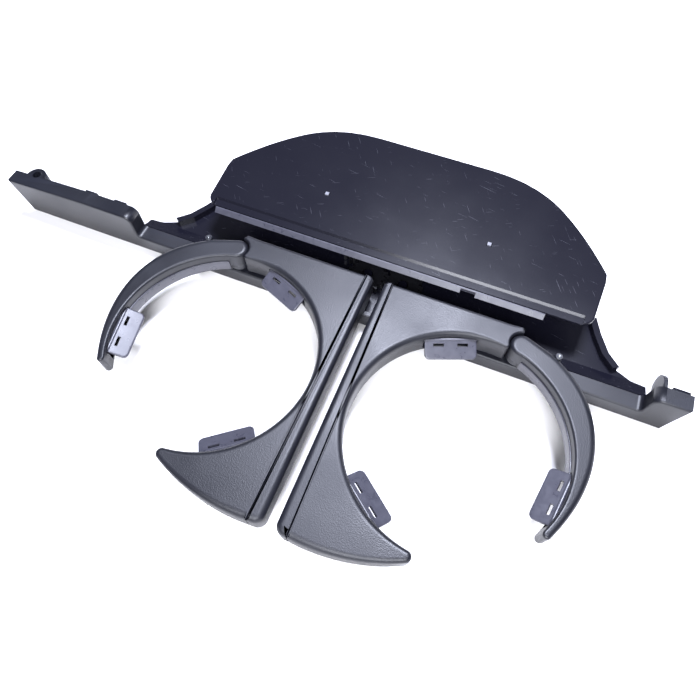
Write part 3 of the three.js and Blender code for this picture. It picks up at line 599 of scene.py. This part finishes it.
@dataclass(frozen=True)
class SatinAbs:
    """Black ABS from a polished mould: an even sheen crossed by fine pale handling scratches."""

    name: str = "satin_abs"
    colour: str = "#101019"
    scratch: str = "#6a6b76"
    opacity: float = 0.32
    haze: float = 45.0
    dust: float = 0.55
    ripple: float = 14.0
    depth: float = 0.06
    roughness: float = 0.2
    ior: float = 1.53

    def _strokes(
        self,
        tree: bpy.types.NodeTree,
        at: bpy.types.NodeSocket,
        angle: float,
        length: float,
        gap: float,
    ) -> bpy.types.NodeSocket:
        """Broken straight strokes, wider than real hairline scratches so that they show.

        Args:
            tree: the material's tree.
            at: object coordinates.
            angle: the strokes' direction in degrees.
            length: typical length in millimetres.
            gap: typical spacing in millimetres.

        Returns:
            A socket that is 1 on a stroke and 0 off it.
        """
        turn = put(tree, "ShaderNodeMapping", {"Rotation": (0, 0, math.radians(angle))}, {"Vector": at})
        stretch = put(
            tree,
            "ShaderNodeVectorMath",
            {"operation": "MULTIPLY", 1: (per_mm(length), per_mm(gap), per_mm(gap))},
            {0: turn.outputs[0]},
        )
        lines = put(
            tree,
            "ShaderNodeTexNoise",
            {"Scale": 1.0, "Detail": 1.0, "Distortion": 0.12},
            {"Vector": stretch.outputs[0]},
        )
        return put(
            tree,
            "ShaderNodeMapRange",
            {"From Min": 0.77, "From Max": 0.80, "To Min": 0.0, "To Max": 1.0},
            {"Value": lines.outputs["Fac"]},
        ).outputs[0]

    def make(self) -> bpy.types.Material:
        """Builds the material.

        Returns:
            The material.
        """
        material, tree, shader, at = fresh(self.name)
        broad = put(tree, "ShaderNodeTexNoise", {"Scale": per_mm(self.haze), "Detail": 4.0}, {"Vector": at})
        dust = put(tree, "ShaderNodeTexNoise", {"Scale": per_mm(self.dust), "Detail": 2.0}, {"Vector": at})
        marks = self._strokes(tree, at, 12, 11.0, 0.24)
        for angle, length, gap in ((-24, 8.0, 0.22), (58, 9.0, 0.24)):
            more = self._strokes(tree, at, angle, length, gap)
            marks = put(tree, "ShaderNodeMath", {"operation": "MAXIMUM"}, {0: marks, 1: more}).outputs[0]
        speck = put(
            tree,
            "ShaderNodeMapRange",
            {"From Min": 0.79, "From Max": 0.84, "To Min": 0.0, "To Max": 0.5},
            {"Value": dust.outputs["Fac"]},
        )
        marks = put(
            tree,
            "ShaderNodeMath",
            {"operation": "MAXIMUM"},
            {0: marks, 1: speck.outputs[0]},
        ).outputs[0]
        shown = put(tree, "ShaderNodeMath", {"operation": "MULTIPLY", 1: self.opacity}, {0: marks})
        tone = put(
            tree,
            "ShaderNodeMix",
            {"data_type": "RGBA", 6: linear(self.colour), 7: linear(self.scratch)},
            {0: shown.outputs[0]},
        )
        glossy, dull = self.roughness - 0.02, self.roughness + 0.03
        rough = put(
            tree,
            "ShaderNodeMapRange",
            {"From Min": 0.3, "From Max": 0.7, "To Min": glossy, "To Max": dull},
            {"Value": broad.outputs["Fac"]},
        )
        rougher = put(
            tree,
            "ShaderNodeMath",
            {"operation": "MULTIPLY_ADD", 1: 0.12},
            {0: marks, 2: rough.outputs[0]},
        )
        ripple = put(
            tree,
            "ShaderNodeTexNoise",
            {"Scale": per_mm(self.ripple), "Detail": 2.0},
            {"Vector": at},
        )
        bump = put(
            tree,
            "ShaderNodeBump",
            {"Strength": 0.2, "Distance": self.depth * MM},
            {"Height": ripple.outputs["Fac"]},
        )
        tree.links.new(tone.outputs[2], shader.inputs["Base Color"])
        tree.links.new(rougher.outputs[0], shader.inputs["Roughness"])
        tree.links.new(bump.outputs[0], shader.inputs["Normal"])
        shader.inputs["IOR"].default_value = self.ior
        return material


@dataclass(frozen=True)
class MouldedPlastic:
    """Plain moulded acetal or nylon: a soft low gloss with faint flow marks."""

    name: str
    colour: str
    shade: str
    roughness: float = 0.38
    flow: float = 3.0
    pits: float = 0.35
    depth: float = 0.03
    glow: float = 1.2  # how far light spreads under the surface
    haze: float = 0.0
    ior: float = 1.48

    def make(self) -> bpy.types.Material:
        """Builds the material.

        Returns:
            The material.
        """
        material, tree, shader, at = fresh(self.name)
        flow = put(
            tree,
            "ShaderNodeTexNoise",
            {"Scale": per_mm(self.flow), "Detail": 4.0, "Distortion": 0.6},
            {"Vector": at},
        )
        fine = put(tree, "ShaderNodeTexNoise", {"Scale": per_mm(self.pits), "Detail": 2.0}, {"Vector": at})
        tone = put(
            tree,
            "ShaderNodeMix",
            {"data_type": "RGBA", 6: linear(self.colour), 7: linear(self.shade)},
            {0: flow.outputs["Fac"]},
        )
        glossy, dull = self.roughness - 0.05, self.roughness + 0.08
        rough = put(
            tree,
            "ShaderNodeMapRange",
            {"From Min": 0.3, "From Max": 0.7, "To Min": glossy, "To Max": dull},
            {"Value": flow.outputs["Fac"]},
        )
        bump = put(
            tree,
            "ShaderNodeBump",
            {"Strength": 0.3, "Distance": self.depth * MM},
            {"Height": fine.outputs["Fac"]},
        )
        tree.links.new(tone.outputs[2], shader.inputs["Base Color"])
        tree.links.new(rough.outputs[0], shader.inputs["Roughness"])
        tree.links.new(bump.outputs[0], shader.inputs["Normal"])
        shader.inputs["IOR"].default_value = self.ior
        shader.inputs["Subsurface Weight"].default_value = self.haze
        shader.inputs["Subsurface Radius"].default_value = (self.glow * MM, self.glow * MM, self.glow * MM)
        return material


@dataclass(frozen=True)
class PlatedSteel:
    """Zinc-plated or drawn steel: grey metal with fine lengthwise drawing marks."""

    name: str
    colour: str = "#a9acb0"
    roughness: float = 0.3
    streak: str = "#6d6f72"
    gap: float = 0.3
    run: float = 3.0
    depth: float = 0.02

    def make(self) -> bpy.types.Material:
        """Builds the material.

        Returns:
            The material.
        """
        material, tree, shader, at = fresh(self.name)
        stretch = put(
            tree,
            "ShaderNodeVectorMath",
            {"operation": "MULTIPLY", 1: (per_mm(self.gap), per_mm(self.gap), per_mm(self.run))},
            {0: at},
        )
        lines = put(
            tree,
            "ShaderNodeTexNoise",
            {"Scale": 1.0, "Detail": 3.0},
            {"Vector": stretch.outputs[0]},
        )
        tone = put(
            tree,
            "ShaderNodeMix",
            {"data_type": "RGBA", 6: linear(self.colour), 7: linear(self.streak)},
            {0: lines.outputs["Fac"]},
        )
        rough = put(
            tree,
            "ShaderNodeMapRange",
            {"To Min": self.roughness - 0.08, "To Max": self.roughness + 0.15},
            {"Value": lines.outputs["Fac"]},
        )
        bump = put(
            tree,
            "ShaderNodeBump",
            {"Strength": 0.2, "Distance": self.depth * MM},
            {"Height": lines.outputs["Fac"]},
        )
        tree.links.new(tone.outputs[2], shader.inputs["Base Color"])
        tree.links.new(rough.outputs[0], shader.inputs["Roughness"])
        tree.links.new(bump.outputs[0], shader.inputs["Normal"])
        shader.inputs["Metallic"].default_value = 1.0
        return material


@dataclass(frozen=True)
class PaleTable:
    """A plain pale painted table top: matt, with a barely visible mottle."""

    name: str = "pale_table"
    colour: str = "#f6f4f1"
    shade: str = "#efece8"
    mottle: float = 60.0
    roughness: float = 0.75

    def make(self) -> bpy.types.Material:
        """Builds the material.

        Returns:
            The material.
        """
        material, tree, shader, at = fresh(self.name)
        mottle = put(
            tree,
            "ShaderNodeTexNoise",
            {"Scale": per_mm(self.mottle), "Detail": 4.0},
            {"Vector": at},
        )
        tone = put(
            tree,
            "ShaderNodeMix",
            {"data_type": "RGBA", 6: linear(self.colour), 7: linear(self.shade)},
            {0: mottle.outputs["Fac"]},
        )
        tree.links.new(tone.outputs[2], shader.inputs["Base Color"])
        shader.inputs["Roughness"].default_value = self.roughness
        return material


class Finishes:
    """Makes each finish once and dresses pieces with it."""

    def __init__(self) -> None:
        """Builds the materials by record slot."""
        self.by_slot: dict[str, bpy.types.Material] = {
            "grained_plastic": GrainedPolypropylene().make(),
            "smooth_plastic": SatinAbs().make(),
            "flap_plastic": MouldedPlastic("grip_nylon", "#34343d", "#46464f", 0.3, haze=0.05).make(),
            "gear_plastic": MouldedPlastic("black_acetal", "#0d0d10", "#141418").make(),
            "snap_plastic": MouldedPlastic("pale_nylon", "#85868f", "#63646c", haze=0.1).make(),
            "steel": PlatedSteel("plated_steel").make(),
            "spring_wire": PlatedSteel("drawn_wire", "#8c8e91", 0.26).make(),
        }

    def dress(self, piece: bpy.types.Object, slot: str) -> bpy.types.Object:
        """Gives a piece the finish of a record slot.

        Args:
            piece: the piece.
            slot: the slot.

        Returns:
            The same piece.
        """
        piece.data.materials.clear()
        piece.data.materials.append(self.by_slot[slot])
        return piece

    def dress_frame(self) -> None:
        """Gives every frame node the finish of its record slot."""
        for entry in FRAME["record"]["subparts"]:
            node = FRAME["nodes"][entry["node"]]
            node.data.materials.clear()
            node.data.materials.append(self.by_slot[entry["material_slot"]])
            LOG.info("dressed %s as %s", entry["node"], entry["material_slot"])


# ---------------------------------------------------------------- the object


@dataclass
class ArmShape:
    """Plan of the right arm, its spine cap and its finger."""

    ring_radius: float = 42.0
    ring_x: float = 50.6
    ring_to_front: float = 11.3
    spine_x: float = 2.3
    cap_back: float = 3.2
    cap_front: float = 5.0
    cap_corner: float = 3.4
    length: float = 106.1
    nose_radius: float = 75.3
    nose_x: float = 13.0
    hook_radius: float = 2.1
    cusp_radius: float = 1.2
    pivot: Point = (8.0, 2.2)
    back_y: float = 8.5
    low: float = 11.0
    high: float = 21.3
    hinge_offset: float = 4.62
    hinge_angle: float = 76.1
    closed_by: float = 4.0
    end_radius: float = 4.9
    root_width: float = 10.4
    root_angle: float = 45.0
    tip_width: float = 3.2
    tip_angle: float = -29.0
    run: float = 0.4
    shave: float = 0.04
    seam_half: float = 0.15
    seam_lead: float = 0.35
    seam_edge: float = 0.22
    front_edge: float = 2.5
    hook_edge: float = 1.6
    ring_edge: float = 2.2
    notch_edge: float = 0.7
    back_edge: float = 1.5
    cap_edge: float = 1.7

    @property
    def front_y(self) -> float:
        """The foremost line of the arm."""
        return self.back_y - self.length

    @property
    def ring(self) -> Point:
        """Centre of the cup ring."""
        return (self.ring_x, self.front_y + self.ring_radius + self.ring_to_front)

    @property
    def nose(self) -> Point:
        """Centre of the front edge's arc."""
        return (self.nose_x, self.front_y + self.nose_radius)

    @property
    def hinge(self) -> Point:
        """The finger's pivot."""
        reach = self.ring_radius + self.hinge_offset
        return turned((self.ring_x + reach, self.ring[1]), self.ring, self.hinge_angle)

    @property
    def finger_centre(self) -> Point:
        """Centre of the finger's inner arc."""
        return turned(self.ring, self.hinge, -self.closed_by)

    def nose_y(self, x: float) -> float:
        """The front edge at x."""
        return self.nose[1] - math.sqrt(self.nose_radius**2 - (x - self.nose_x) ** 2)

    def seam_x(self, y: float) -> float:
        """The seam between spine cap and arm at y."""
        share = (self.back_y - y) / self.length
        return self.spine_x + self.cap_back + (self.cap_front - self.cap_back) * share

    def body(self) -> Outline:
        """Outline of the arm body, a hair inside the frame's solid.

        Returns:
            The outline, from the seam round by the front edge, hook, ring, finger notch and back edge.
        """
        s = self.shave
        clear = self.end_radius + self.run + s
        ring_r = self.ring_radius + s
        nose_r = self.nose_radius - s
        hook = crossing(self.ring, ring_r + self.hook_radius, self.nose, nose_r - self.hook_radius, 1)
        cusp = crossing(self.ring, ring_r + self.cusp_radius, self.hinge, clear + self.cusp_radius, 1)
        front_seam = self.seam_x(self.front_y)
        start = heading(self.nose, (front_seam + self.seam_half + s, self.nose_y(front_seam)))
        hook_from = heading(self.nose, hook)
        hook_to = heading(hook, self.ring)
        cusp_from = heading(cusp, self.ring)
        cusp_to = heading(cusp, self.hinge)
        front = arc(self.nose, nose_r, start, hook_from, 40)
        beside = turned(front[0], self.nose, math.degrees(self.seam_lead / nose_r))
        outline = Outline()
        outline.add([front[0]], self.seam_edge).add([beside], self.front_edge - 0.2)
        outline.add(front[1:-1], self.front_edge, self.hook_edge)
        outline.add(arc(hook, self.hook_radius, hook_from, hook_to, 10), self.hook_edge)
        ring = arc(self.ring, ring_r, hook_to + 180, cusp_from + 180, 110)[1:-1]
        ease = 12
        outline.add(ring[:ease], self.hook_edge, self.ring_edge).add(ring[ease:-ease], self.ring_edge)
        outline.add(ring[-ease:], self.ring_edge, self.notch_edge + 0.05)
        outline.add(arc(cusp, self.cusp_radius, cusp_from, cusp_to, 6), self.notch_edge)
        outline.add(arc(self.hinge, clear, cusp_to + 180, 100, 22)[1:], self.notch_edge)
        back = self.back_y - s
        end = self.hinge[0]
        # the small chamfer where the finger notch meets the back edge
        outline.add([(end - 0.9 - s, back - 1.3)], 0.6).add([(end - 1.9, back)], self.notch_edge)
        # evenly spaced points keep the rounded back edge regular
        seam = self.seam_x(self.back_y) + self.seam_half + s
        outline.add([(end - 6 - i * (end - 9 - seam) / 8, back) for i in range(9)], self.back_edge)
        outline.add([(seam + self.seam_lead, back)], self.back_edge).add([(seam, back)], self.seam_edge)
        return outline

    def cap(self) -> Outline:
        """Outline of the spine cap.

        Returns:
            The outline, from the heel by the pivot round by the inner side, the front and the seam.
        """
        corner, edge = self.cap_corner, self.cap_edge
        heel = self.pivot[0] - 0.3
        rise = self.back_y - self.pivot[1]
        heel_from = 180 - math.degrees(math.asin(rise / heel))
        heel_to = 180 - math.degrees(math.acos((self.pivot[0] - self.spine_x) / heel))
        front_x = self.seam_x(self.front_y) - self.seam_half
        lead_x = front_x - self.seam_lead
        corner_at = (self.spine_x + corner, self.nose_y(self.spine_x + corner) + corner)
        outline = Outline()
        outline.add(arc(self.pivot, heel, heel_from, heel_to, 6), 0.9, edge)
        # the inner side's edge grows rounder towards the front
        for i in range(1, 20):
            outline.add([(self.spine_x, 7 - i * 5.05)], edge + 0.03 * i)
        outline.add(arc(corner_at, corner, 180, 262, 14), edge + 0.6, edge + 0.7)
        outline.add([(lead_x, self.nose_y(lead_x))], edge + 0.6)
        outline.add([(front_x, self.nose_y(front_x))], self.seam_edge)
        outline.add([(self.seam_x(self.back_y) - self.seam_half, self.back_y)], self.seam_edge)
        return outline

    def width(self, angle: float) -> float:
        """The finger's width at an angle about its centre."""
        share = min(1.0, max(0.0, (angle - self.tip_angle) / (self.root_angle - self.tip_angle)))
        return self.tip_width + (self.root_width - self.tip_width) * share * share * (3 - 2 * share)

    def finger(self) -> Outline:
        """Outline of the finger, a hair inside the frame's solid.

        Returns:
            The outline, from the hinge round by the inner side, the tip and the outer side.
        """
        s = self.shave
        centre = self.finger_centre
        swing = heading(centre, self.hinge)
        tip = turned((centre[0] + self.ring_radius + self.tip_width / 2, centre[1]), centre, self.tip_angle)
        outline = Outline()
        outline.add(arc(self.hinge, self.end_radius - s, swing, swing + 180, 24), 2.6, 1.2)
        outline.add(arc(centre, self.ring_radius + s, swing, self.tip_angle, 72)[3:], 1.1, 0.8)
        outline.add(arc(tip, self.tip_width / 2 - s, self.tip_angle + 200, self.tip_angle + 340, 8), 0.8, 1.1)
        outer = []
        steps = 60
        for i in range(steps + 1):
            angle = self.tip_angle + (swing - 12 - self.tip_angle) * i / steps
            reach = self.ring_radius + self.width(angle) - s
            outer.append(turned((centre[0] + reach, centre[1]), centre, angle))
        slim = 20
        outline.add(outer[:slim], 1.4, 2.4).add(outer[slim:], 2.4, 3.0)
        return outline


@dataclass
class Arm:
    """One swing-out arm with its spine cap, finger and finger hinge."""

    side: Side
    shape: ArmShape
    finishes: Finishes
    # painted reflection: a paler strip inside the finger stands in for the bright table's light on its inner
    # wall
    reflection_strip_low: float = 12.0
    reflection_strip_high: float = 17.2
    reflection_strip_angles: tuple[float, float] = (2, 68)
    stop_angle: float = 58.0
    eye_low: float = 11.05
    eye_high: float = 13.75
    eye_radius: float = 4.6

    def _placed(self, mesh: bmesh.types.BMesh, name: str) -> bpy.types.Object:
        """Makes a right-hand mesh into an object, mirrored for the left arm."""
        piece = to_object(mesh, name)
        return mirror(piece) if self.side is Side.LEFT else piece

    def _mounted(self, piece: bpy.types.Object, slot: str, part: str) -> bpy.types.Object:
        """Dresses a piece and sets it on one of the arm's bodies.

        Args:
            piece: the piece.
            slot: the record slot of its finish.
            part: the body it rides on, arm or finger.

        Returns:
            The same piece.
        """
        self.finishes.dress(piece, slot)
        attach(piece, f"{self.side.word}_{part}")
        return piece

    def _refined(self, node: str, outline: Outline, part: str, high: float) -> bpy.types.Object:
        """The frame's solid with a finely rounded upper edge, just below its top.

        Args:
            node: the frame node, without the side's word.
            outline: the outline that trims it.
            part: the body it rides on, arm or finger.
            high: the node's top.

        Returns:
            The piece, in place of the node.
        """
        full = f"{self.side.word}_{node}"
        form = rounded_slab(outline, self.shape.low - 0.5, high - HAIR, FORM_FOOT)
        smooth = self._placed(form, f"{full}_skin_form")
        piece = crisp(combine(copied(full, f"{full}_skin"), smooth, Change.TRIM))
        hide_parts(full)
        return self._mounted(piece, "grained_plastic", part)

    def _spine_cap(self) -> bpy.types.Object:
        """The cap along the arm's inner edge.

        Returns:
            The piece, in place of the node.
        """
        node = f"{self.side.word}_spine_cap"
        strip = rounded_slab(self.shape.cap(), self.shape.low, self.shape.high, 0.5)
        piece = crisp(self._placed(strip, f"{node}_skin"))
        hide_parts(node)
        return self._mounted(piece, "grained_plastic", "arm")

    def _eye(self) -> bpy.types.Object:
        """The eye of the arm that the finger's pin runs in.

        Returns:
            The eye.
        """
        x, y = self.shape.hinge
        rod = turned_rod((x, y, self.eye_low), (x, y, self.eye_high), self.eye_radius, 0.3, 40)
        return self._mounted(self._placed(rod, f"{self.side.word}_finger_eye"), "grained_plastic", "arm")

    def _liner(self) -> bpy.types.Object:
        """The smooth paler strip inside the finger, where the cup slides: a painted reflection of the bright
        table on the finger's inner wall.

        Returns:
            The strip.
        """
        centre, radius = self.shape.finger_centre, self.shape.ring_radius
        first, last = self.reflection_strip_angles
        outline = Outline()
        outline.add(arc(centre, radius + 0.6, first, last, 60), 0.1)
        outline.add(arc(centre, radius - 0.4, last, first, 60), 0.35)
        strip = rounded_slab(outline, self.reflection_strip_low, self.reflection_strip_high, 0.3)
        piece = crisp(self._placed(strip, f"{self.side.word}_finger_liner"))
        # the grey flap finish makes this strip the painted reflection on the finger's inner wall
        return self._mounted(piece, "flap_plastic", "finger")

    def _stop(self) -> list[bpy.types.Object]:
        """The small stop on the finger's outer side, with its bright rivet.

        Returns:
            The stop and the rivet.
        """
        centre = self.shape.finger_centre
        reach = centre[0] + self.shape.ring_radius + self.shape.root_width + 0.7
        x, y = turned((reach, centre[1]), centre, self.stop_angle)
        made = []
        for name, foot, top, radius, slot in (
            ("stop", 14.0, 20.4, 1.5, "grained_plastic"),
            ("rivet", 20.2, 20.9, 0.6, "steel"),
        ):
            rod = turned_rod((x, y, foot), (x, y, top), radius, 0.25, 24)
            piece = crisp(self._placed(rod, f"{self.side.word}_finger_{name}"))
            made.append(self._mounted(piece, slot, "finger"))
        return made

    def build(self) -> list[bpy.types.Object]:
        """Builds the arm.

        Returns:
            Its visible pieces.
        """
        shape = self.shape
        return [
            self._refined("arm_body", shape.body(), "arm", shape.high),
            self._refined("finger", shape.finger(), "finger", shape.high - 0.1),
            self._spine_cap(),
            self._eye(),
            self._liner(),
            *self._stop(),
        ]


@dataclass
class GripFlap:
    """A sprung flap that tilts out of a ring to hold a can."""

    side: Side
    part: str
    centre: Point
    angle: float
    finishes: Finishes
    width: float = 20.4
    length: float = 7.8
    thickness: float = 1.3
    corner: float = 2.0
    slot_near: float = 1.5
    slot_far: float = 2.7
    slot_y: float = 4.7
    slot_half: float = 2.1
    barrel_radius: float = 0.88
    pin_radius: float = 0.48
    pin_reach: float = 1.2
    droop: float = 26.0
    axis_radius: float = 41.6
    axis_z: float = 17.8

    @property
    def node(self) -> str:
        """The flap's frame node, which its body is named for."""
        return f"{self.side.word}_{self.part}_flap"

    def _plate(self) -> bpy.types.Object:
        """The flap's plate with its two slots, lying flat with its hinge line on Y.

        Returns:
            The plate.
        """
        half, far, r = self.width / 2, self.length, self.corner
        outline = Outline()
        outline.add([(-0.2, half), (-0.2, 0), (-0.2, -half)], 0.3)
        outline.add(arc((far - r, -half + r), r, -90, 0, 10), 0.45)
        outline.add(arc((far - r, half - r), r, 0, 90, 10), 0.45)
        slab = rounded_slab(outline, -self.thickness / 2, self.thickness / 2, 0.35, 4)
        plate = to_object(slab, f"{self.node}_skin")
        for y in (-self.slot_y, self.slot_y):
            near = (self.slot_near, y - self.slot_half, -2)
            far_corner = (self.slot_far, y + self.slot_half, 2)
            combine(plate, to_object(block(near, far_corner, 0.12), "slot_tool"), Change.CUT)
        return plate

    def build(self) -> bpy.types.Object:
        """Builds the flap in place.

        Returns:
            The flap.
        """
        plate = self._plate()
        plate.data.transform(Matrix.Rotation(math.radians(self.droop), 4, "Y"))
        half = self.width / 2
        barrel = turned_rod((0, -half, 0), (0, half, 0), self.barrel_radius, 0.12, 28)
        combine(plate, to_object(barrel, "barrel_tool"), Change.JOIN)
        end = half + self.pin_reach
        pin = turned_rod((0, -end, 0), (0, end, 0), self.pin_radius, 0.1, 16)
        combine(plate, to_object(pin, "pin_tool"), Change.JOIN)
        place = turned((self.centre[0] + self.axis_radius, self.centre[1]), self.centre, self.angle)
        move = Matrix.Translation(Vector((place[0], place[1], self.axis_z)) * MM)
        plate.data.transform(move @ Matrix.Rotation(math.radians(self.angle + 180), 4, "Z"))
        if self.side is Side.LEFT:
            mirror(plate)
        crisp(plate)
        self.finishes.dress(plate, "flap_plastic")
        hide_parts(self.node)
        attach(plate, self.node)
        return plate


@dataclass
class Fascia:
    """The front panel with its two raised wings."""

    finishes: Finishes
    wing: float = 21.3
    wing_end: float = 19.2
    wing_flat: float = 24.0
    strip: float = 9.5
    left: float = 177.5
    right: float = 125.0
    step: float = 112.0
    front: float = -3.5
    depth: float = 40.0
    shave: float = 0.03
    top_round: float = 3.2
    foot_round: float = 1.8

    def outline(self) -> Outline:
        """Outline of the front face.

        Returns:
            The outline, from the foot round by the right wing, the strip and the left wing.
        """
        s, r_top, r_foot = self.shave, self.top_round, self.foot_round
        top, low = self.wing - s, self.strip - s
        outline = Outline()
        outline.add([(-self.left + 4.5 + s, s), (self.right - 2.25 - s, s)], 0.5)
        outline.add([(self.right - s, top)], 0.9)
        outline.add(arc((self.step + r_top + s, top - r_top), r_top, 90, 180, 12), 1.0)
        outline.add(arc((self.step - r_foot, low + r_foot), r_foot + s, 0, -90, 8), 0.9)
        outline.add(arc((-self.step + r_foot, low + r_foot), r_foot + s, 270, 180, 8), 0.9)
        outline.add(arc((-self.step - r_top - s, top - r_top), r_top, 0, 90, 12), 1.0)
        outline.add([(-self.step - self.wing_flat, top), (-self.left + s, self.wing_end - s)], 0.9)
        return outline

    def build(self) -> bpy.types.Object:
        """Builds the fascia.

        Returns:
            The fascia.
        """
        slab = rounded_slab(
            self.outline(), -self.depth, -self.front - self.shave, FORM_FOOT, plane=Plane.XZ_FORWARD
        )
        form = to_object(slab, "fascia_form")
        piece = crisp(combine(copied("fascia", "fascia_skin"), form, Change.TRIM))
        self.finishes.dress(piece, "grained_plastic")
        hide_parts("fascia")
        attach(piece, "housing")
        return piece


@dataclass
class Lid:
    """The flat lid behind the fascia, with a finely rounded edge."""

    finishes: Finishes
    half: float = 85.4
    front_y: float = 16.4
    side_y: float = 43.0
    back_half: float = 46.5
    back_y: float = 81.2
    rounding: float = 20.0
    bulge: float = 1.85
    corner: float = 5.0
    top: float = 24.4
    boss_foot: float = 15.0
    shave: float = 0.03
    slant_steps: int = 27
    slant_kept: int = 18
    curve_steps: int = 12

    def _slant(self) -> list[Point]:
        """The slightly bulged slant at the right, up to the rounded back corner.

        Returns:
            Its points, from front to back.
        """
        side = (self.half - self.shave, self.side_y)
        apex = (self.back_half, self.back_y - self.shave)
        found = []
        for i in range(1, self.slant_kept + 1):
            share = i / self.slant_steps
            push = self.bulge * math.sin(math.pi * share) - self.shave
            found.append(tuple(s + (a - s) * share + push for s, a in zip(side, apex)))
        return found

    def _back_corner(self, start: Point) -> list[Point]:
        """The rounded back corner at the right.

        Args:
            start: the point it starts from.

        Returns:
            Its points, as far as the straight back edge.
        """
        apex = (self.back_half, self.back_y - self.shave)
        stops = (start, (apex[0] + 1, apex[1]), (apex[0] - self.rounding, apex[1]))
        found = []
        for i in range(1, self.curve_steps + 1):
            t = i / self.curve_steps
            weights = ((1 - t) ** 2, 2 * t * (1 - t), t * t)
            found.append(tuple(sum(w * stop[axis] for w, stop in zip(weights, stops)) for axis in (0, 1)))
        return found

    def outline(self) -> Outline:
        """Outline of the lid, a hair inside the frame's solid.

        Returns:
            The outline, from the front right corner round to the front left.
        """
        centre = (self.half - 1.2 - self.corner, self.front_y + self.corner)
        side_x = self.half - self.shave
        right = arc(centre, self.corner - self.shave, -90, 0, 10)
        right += [(side_x, self.side_y - 4), (side_x - 0.3, self.side_y)]
        right += self._slant()
        right += self._back_corner(right[-1])
        left = [(-x, y) for x, y in reversed(right)]
        return Outline().add(right + left, 0.55)

    def build(self) -> bpy.types.Object:
        """Builds the lid.

        Returns:
            The lid.
        """
        slab = rounded_slab(self.outline(), self.boss_foot - 1, self.top - HAIR, FORM_FOOT)
        lid = crisp(combine(copied("lid", "lid_skin"), to_object(slab, "lid_form"), Change.TRIM))
        self.finishes.dress(lid, "smooth_plastic")
        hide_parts("lid")
        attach(lid, "housing")
        return lid


# ---------------------------------------------------------------- the studio


@dataclass(frozen=True)
class Lamp:
    """One soft square light: its place and side in millimetres, its power in watts."""

    name: str
    at: tuple[float, float, float]
    side: float
    power: float
    colour: str

    def build(self, aim: Sequence[float]) -> None:
        """Adds the light.

        Args:
            aim: the place that it faces, in millimetres.
        """
        lamp = bpy.data.lights.new(self.name, "AREA")
        lamp.shape = "SQUARE"
        lamp.size = self.side * MM
        lamp.energy = self.power
        lamp.color = linear(self.colour)[:3]
        holder = bpy.data.objects.new(self.name, lamp)
        holder.location = Vector(self.at) * MM
        holder.rotation_euler = (Vector(aim) - Vector(self.at)).to_track_quat("-Z", "Y").to_euler()
        bpy.context.scene.collection.objects.link(holder)


@dataclass
class Studio:
    """Table, light and camera."""

    eye: tuple[float, float, float] = (35.6, -114.2, 204.4)
    forward: tuple[float, float, float] = (-0.1682, 0.4262, -0.8889)
    right: tuple[float, float, float] = (0.9302, 0.3672, 0.0)
    roll: float = 0.53
    lens: float = 27.85
    sensor: float = 36.0
    aim: tuple[float, float, float] = (0, -10, 10)
    table_side: float = 2500.0
    table_z: float = -0.02
    sky: str = "#e4e7f4"
    sky_strength: float = 0.16

    def _table(self) -> None:
        """The pale table top."""
        mesh = bmesh.new()
        bmesh.ops.create_grid(mesh, x_segments=8, y_segments=8, size=self.table_side)
        for vert in mesh.verts:
            vert.co.z = self.table_z
        floor = to_object(mesh, "table_top")
        floor.data.materials.append(PaleTable().make())

    def _camera(self) -> None:
        """The camera."""
        forward = Vector(self.forward).normalized()
        level_right = Vector(self.right).normalized()
        level_up = level_right.cross(forward)
        turn = math.radians(self.roll)
        right = level_right * math.cos(turn) + level_up * math.sin(turn)
        up = level_up * math.cos(turn) - level_right * math.sin(turn)
        lens = bpy.data.cameras.new("camera")
        lens.lens = self.lens
        lens.sensor_width = self.sensor
        lens.clip_start = 0.005
        holder = bpy.data.objects.new("camera", lens)
        rows = Matrix((right, up, -forward)).transposed().to_4x4()
        holder.matrix_world = Matrix.Translation(Vector(self.eye) * MM) @ rows
        bpy.context.scene.collection.objects.link(holder)
        bpy.context.scene.camera = holder

    def _sky(self) -> None:
        """The faint even light from all round."""
        world = bpy.data.worlds.new("studio")
        world.use_nodes = True
        background = world.node_tree.nodes["Background"]
        background.inputs["Color"].default_value = linear(self.sky)
        background.inputs["Strength"].default_value = self.sky_strength
        bpy.context.scene.world = world

    def build(self) -> None:
        """Builds the studio."""
        self._camera()
        self._table()
        Lamp("key", (0, 290, 820), 230, 20.0, "#e6ebff").build(self.aim)
        Lamp("front", (110, -520, 560), 420, 11.0, "#f2f5ff").build(self.aim)
        self._sky()
        bpy.context.scene.view_settings.view_transform = "Standard"


def main() -> None:
    """Builds the studio and every piece."""
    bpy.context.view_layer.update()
    finishes = Finishes()
    Studio().build()
    finishes.dress_frame()
    shape = ArmShape()
    for side in Side:
        for piece in Arm(side, shape, finishes).build():
            LOG.info("built %s", piece.name)
        for part, centre, angle in (
            ("back", shape.ring, 112.0),
            ("hook", shape.ring, 232.5),
            ("finger", shape.finger_centre, -10.5),
        ):
            LOG.info("built %s", GripFlap(side, part, centre, angle, finishes).build().name)
    for panel in (Fascia(finishes), Lid(finishes)):
        LOG.info("built %s", panel.build().name)


with open("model.json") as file:
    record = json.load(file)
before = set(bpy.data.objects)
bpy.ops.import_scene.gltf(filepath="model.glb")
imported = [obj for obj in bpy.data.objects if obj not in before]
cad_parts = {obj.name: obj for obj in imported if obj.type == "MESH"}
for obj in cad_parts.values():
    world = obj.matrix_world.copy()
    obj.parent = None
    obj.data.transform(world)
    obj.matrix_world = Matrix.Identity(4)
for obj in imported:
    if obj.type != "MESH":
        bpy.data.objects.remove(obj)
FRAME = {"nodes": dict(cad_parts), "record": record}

if __name__ == "__main__":
    logging.basicConfig(level=logging.INFO)
    main()
